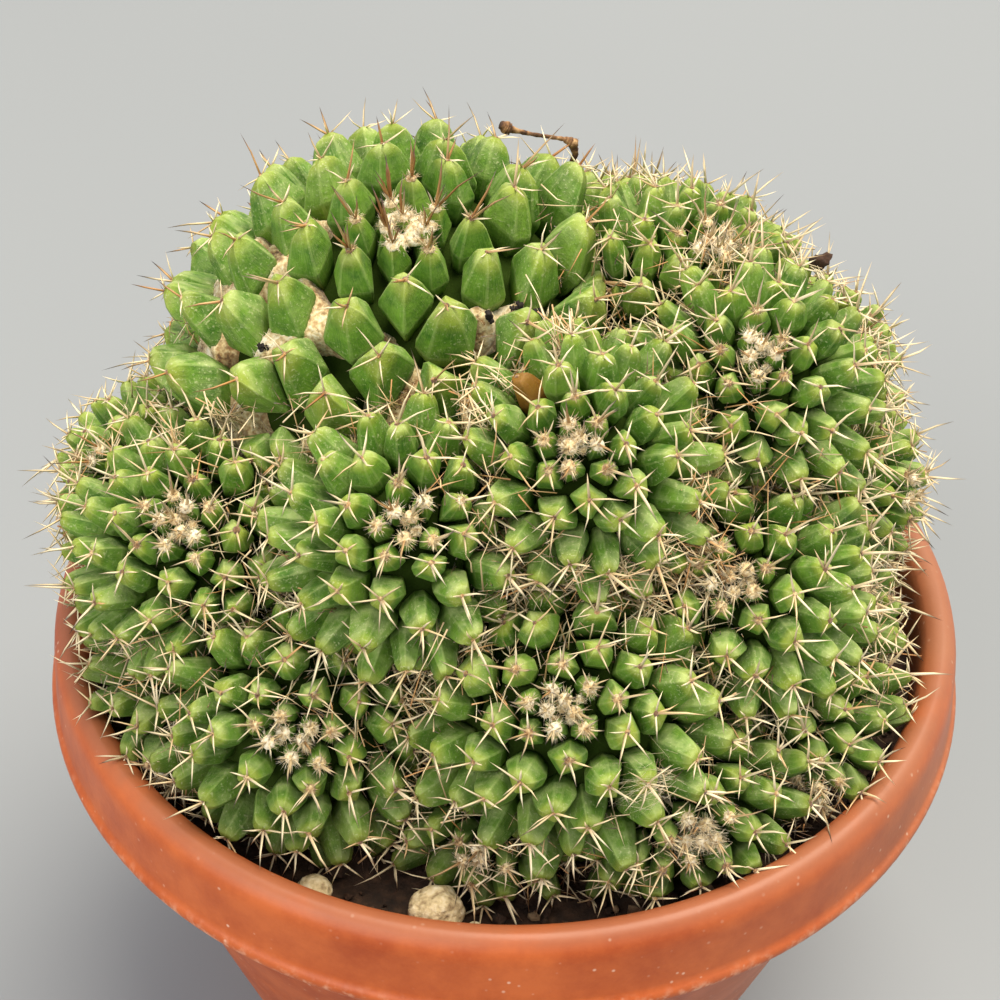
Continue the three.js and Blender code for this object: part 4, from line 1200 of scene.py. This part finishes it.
def bore_drains(pot):
    """Cuts the drain holes through the pot's floor."""
    rods = Shape()
    for turn in even_turns(DRAIN_HOLES) + DRAIN_TURN:
        ring = round_axis(DRAIN_CIRCLE, turn, -1.0) + round_axis(DRAIN_RADIUS, even_turns(DRAIN_SIDES), 0.0)
        rods.add(np.stack([ring, ring + (0, 0, FLOOR_TOP + 2)]), sleeve(2, DRAIN_SIDES), 0.0)
    mesh = bpy.data.meshes.new("drain_rods")
    mesh.from_pydata(np.concatenate(rods.points) * MM, [], rods.faces)
    cutter = put_in_scene("drain_rods", mesh)
    boring = pot.modifiers.new("drains", "BOOLEAN")
    boring.operation = "DIFFERENCE"
    boring.solver = "EXACT"
    boring.object = cutter
    bored = bpy.data.meshes.new_from_object(pot.evaluated_get(bpy.context.evaluated_depsgraph_get()))
    pot.modifiers.clear()
    pot.data = bored
    bored.set_sharp_from_angle(angle=math.radians(50))
    bpy.data.objects.remove(cutter)
    bpy.data.meshes.remove(mesh)


def soil_shape():
    """The compost: its plain underside and sides inside the pot, and its lumpy top."""
    shape = Shape()
    edge = INNER_RADIUS - 0.1
    radii = [body_radius(FLOOR_TOP) - WALL - SEAT_GAP, edge, *np.linspace(edge, 2, 34)]
    points = round_axis(np.array(radii)[:, None], even_turns(SOIL_SIDES), 0.0)
    lumps = 0.5 * waves(points / 7, 3) + 0.5 * waves(points / 2.2, 4)
    points[..., 2] = SOIL_LEVEL - 0.6 + 1.6 * lumps
    points[0, :, 2] = FLOOR_TOP + SEAT_GAP
    points[1, :, 2] = NECK_HEIGHT
    shape.add(points, sleeve(len(radii), SOIL_SIDES), (0.0, 0.05, 0.5))
    return shape


def crumb_shape(draws):
    """Loose crumbs of bark, peat and grit on the compost, where it shows beside the heads."""
    shape = Shape()
    directions, faces = ball(1)
    count = 1100
    turns = draws.uniform(0, TAU, count)
    radii = INNER_RADIUS - 2 - 30 * draws.random(count) ** 1.4
    sizes = np.minimum(draws.gamma(2.0, 0.35, count) + 0.35, 2.2)
    places = round_axis(radii, turns, SOIL_LEVEL - 0.2 + 0.4 * sizes)
    lumps = draws.uniform(0.6, 1.25, (count, len(directions), 1))
    stretch = draws.uniform(0.6, 1.3, (count, 1, 3))
    pale = draws.random(count) < 0.12
    tones = np.where(pale, draws.uniform(0.3, 0.55, count), draws.uniform(-0.1, 0.2, count))
    points = places[:, None] + directions * lumps * stretch * sizes[:, None, None]
    shape.add_copies(points, faces, columns(1.0, tones[:, None], 1.0))
    return shape


# The stones' names, places on the soil, sizes and seeds.
STONES = [
    ("pumice_large", (-11.5, -81.2), 4.8, 3),
    ("pumice_small", (-4.2, -84), 1.8, 8),
    ("pumice_left", (-35, -76.5), 3.2, 12),
]


def stone_shape(place, size, seed):
    """A rounded, pitted lump."""
    shape = Shape()
    directions, faces = ball(5 if size > 4 else 4)
    lumps = 1 + 0.14 * waves(directions * 2.2, seed) + 0.06 * waves(directions * 6, seed + 1)
    pits = np.clip(waves(directions * 14, seed + 2) - 0.25, 0, 1)
    reach = np.array([size * 1.1, size, size * 0.86])
    middle = np.array([*place, SOIL_LEVEL + SOIL_LUMP + SEAT_GAP * 0.5 + reach[2]])
    shape.add(middle + directions * (lumps - 0.18 * pits)[:, None] * reach, faces, (0.0, 0.5, 0.5))
    return shape


# The dried stalk's steps from the tubercle that it starts on, and its radius at each, as in the
# solids.
STALK_PATH = [
    ((0, 0, 0), 0.3), ((0.6, 0.6, 1), 0.5), ((2.2, 0.4, 4.6), 0.6), ((1.5, 0.1, 7.6), 1.2),
    ((-0.6, -0.3, 8.6), 0.5), ((-7, -2, 10.4), 0.45), ((-10.6, -2.8, 11.6), 0.6),
    ((-12.4, -3.2, 12.4), 1.4), ((-13.6, -3.4, 13.2), 0.9),
]
STALK_STEPS = 60
STALK_SIDES = 8


def stalk_shape(draws):
    """A thin dry stalk with a swollen joint and a withered flower at its end."""
    shape = Shape()
    low, high = (np.array(corner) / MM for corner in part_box("dried_stalk"))
    path = np.array([place for place, _ in STALK_PATH], float)
    path += (low + high) / 2 - (path.min(axis=0) + path.max(axis=0)) / 2
    steps = np.arange(len(path))
    fine = np.linspace(0, steps[-1], STALK_STEPS)
    line = np.stack([np.interp(fine, steps, path[:, k]) for k in range(3)], axis=1)
    wide = np.interp(fine, steps, [radius for _, radius in STALK_PATH])
    wide *= draws.uniform(0.8, 1.15, STALK_STEPS)
    first, second = square_axes(unit(np.gradient(line, axis=0)))
    turns = even_turns(STALK_SIDES)[:, None]
    rim = np.cos(turns) * first[:, None] + np.sin(turns) * second[:, None]
    wrinkle = 1 + 0.18 * np.cos(turns * 3) * draws.uniform(0.3, 1, (STALK_STEPS, 1, 1))
    points = line[:, None] + rim * wide[:, None, None] * wrinkle
    tones = draws.uniform(0.6, 1.4, STALK_STEPS)
    marks = np.repeat(columns(1.0, tones, 1.0), STALK_SIDES, axis=0)
    shape.add(points, sleeve(STALK_STEPS, STALK_SIDES), marks)
    return shape


floor_material = pale_paper()
skin = cactus_skin()
horn = spine_horn()
wool = areole_wool()
dried = dried_plant()

for number, head in enumerate(HEADS):
    add_partings(head)
    grow_tubercles(head, np.random.default_rng(100 + number))

tips = np.concatenate([head.tip_places() for head in HEADS])
outwards = np.concatenate([head.axes for head in HEADS])
dry_tip = tips[nearest_to(tips, DRIED_TUBERCLE_SPOT_PX)]
for head in HEADS:
    withered = np.linalg.norm(head.tip_places() - dry_tip, axis=1) < 0.01
    head.own[withered] = 2
    head.bare[withered] = True
    head.tops[withered] -= DRIED_TUBERCLE_SUNK

spine_shape = Shape()
areole_shape = Shape()
crown_shape = Shape()
for number, head in enumerate(HEADS):
    draws = np.random.default_rng(200 + number)
    flesh_shape = Shape()
    core_shape(head, flesh_shape)
    tubercle_shapes(head, draws, flesh_shape)
    make_piece(head.name + "_flesh", flesh_shape, skin, [head.name])
    head_spines(head, draws, spine_shape)
    head_wool(head, draws, areole_shape)
    crown_wool(head, draws, crown_shape)

draws = np.random.default_rng(300)
seam_spots, seam_ways = (np.concatenate(found) for found in zip(*map(seam_places, HEADS)))
tangle_shape = Shape()
fallen_spines(seam_spots, seam_ways, draws, tangle_shape)
litter_shape = Shape()
seam_litter(seam_spots, seam_ways, draws, litter_shape)
scar_shape = Shape()
axil_shape = Shape()
axil_wool(axil_pads(draws, scar_shape), draws, axil_shape)
flower_shape = Shape()
dried_flowers(tips, outwards, flower_shape)
web_shape = Shape()
cobweb(tips, outwards, draws, web_shape)

for name, shape, material, slot in [
    ("spines", spine_shape, horn, "spines"),
    ("areole_wool", areole_shape, wool, "wool"),
    ("crown_wool", crown_shape, wool, "wool"),
    ("axil_wool", axil_shape, wool, "wool"),
    ("seam_fibres", litter_shape, wool, "wool"),
    ("fallen_spines", tangle_shape, horn, "spines"),
    ("flower_scars", scar_shape, dried, "dried_flowers"),
    ("withered_flowers", flower_shape, dried, "dried_flowers"),
    ("cobweb", web_shape, wool, "wool"),
]:
    make_piece(name, shape, material)
bore_drains(make_piece("pot_moulding", pot_shape(), terracotta_polypropylene(), ["pot"]))
compost = potting_compost()
make_piece("compost", soil_shape(), compost, ["soil"])
make_piece("compost_crumbs", crumb_shape(np.random.default_rng(7)), compost, soft=False)
pumice = pumice_stone()
for name, place, size, seed in STONES:
    make_piece(name + "_pitted", stone_shape(place, size, seed), pumice, [name])
make_piece("withered_stalk", stalk_shape(np.random.default_rng(5)), dried, ["dried_stalk"])


# The studio, in metres and watts.
FLOOR_REACH = 3.5
FLOOR_SIDES = 64
LIGHT_TARGET = (0, 0, 0.17)
WORLD_STRENGTH = 0.82


def place_camera():
    right, up, forward = camera_axes()
    camera = put_in_scene("camera", bpy.data.cameras.new("camera"))
    rows = columns(right, up, -forward, camera_place() * MM)
    camera.matrix_world = Matrix([*rows.tolist(), (0, 0, 0, 1)])
    camera.data.sensor_width = SENSOR_MM
    camera.data.lens = SENSOR_MM * FOCAL_LENGTH_PX / PICTURE_PX
    camera.data.clip_start = 0.01
    bpy.context.scene.camera = camera


def soft_light(name, place, size, power, colour):
    """A square soft box that looks at the plant."""
    light = bpy.data.lights.new(name, "AREA")
    light.size = size
    light.energy = power
    light.color = linear(colour)[:3]
    lamp = put_in_scene(name, light)
    lamp.location = place
    lamp.rotation_euler = (Vector(LIGHT_TARGET) - Vector(place)).to_track_quat("-Z", "Y").to_euler()


def light_studio():
    soft_light("key_light", (0.95, 0.4, 3.75), 3.0, 290, "#fff4e0")
    soft_light("fill_light", (-1.6, -2.2, 1.6), 2.4, 68, "#fff8f0")
    world = bpy.data.worlds.new("studio")
    world.use_nodes = True
    background = world.node_tree.nodes["Background"]
    background.inputs["Color"].default_value = linear("#dfe4ea")
    background.inputs["Strength"].default_value = WORLD_STRENGTH
    bpy.context.scene.world = world
    bpy.context.scene.view_settings.view_transform = "Standard"


def lay_floor():
    """A round sheet of paper, so that its edge lies level from all sides."""
    mesh = bpy.data.meshes.new("studio_floor")
    edge = round_axis(FLOOR_REACH, even_turns(FLOOR_SIDES), 0.0)
    mesh.from_pydata(edge, [], [tuple(range(FLOOR_SIDES))])
    mesh.materials.append(floor_material)
    floor = put_in_scene("studio_floor", mesh)


place_camera()
light_studio()
lay_floor()
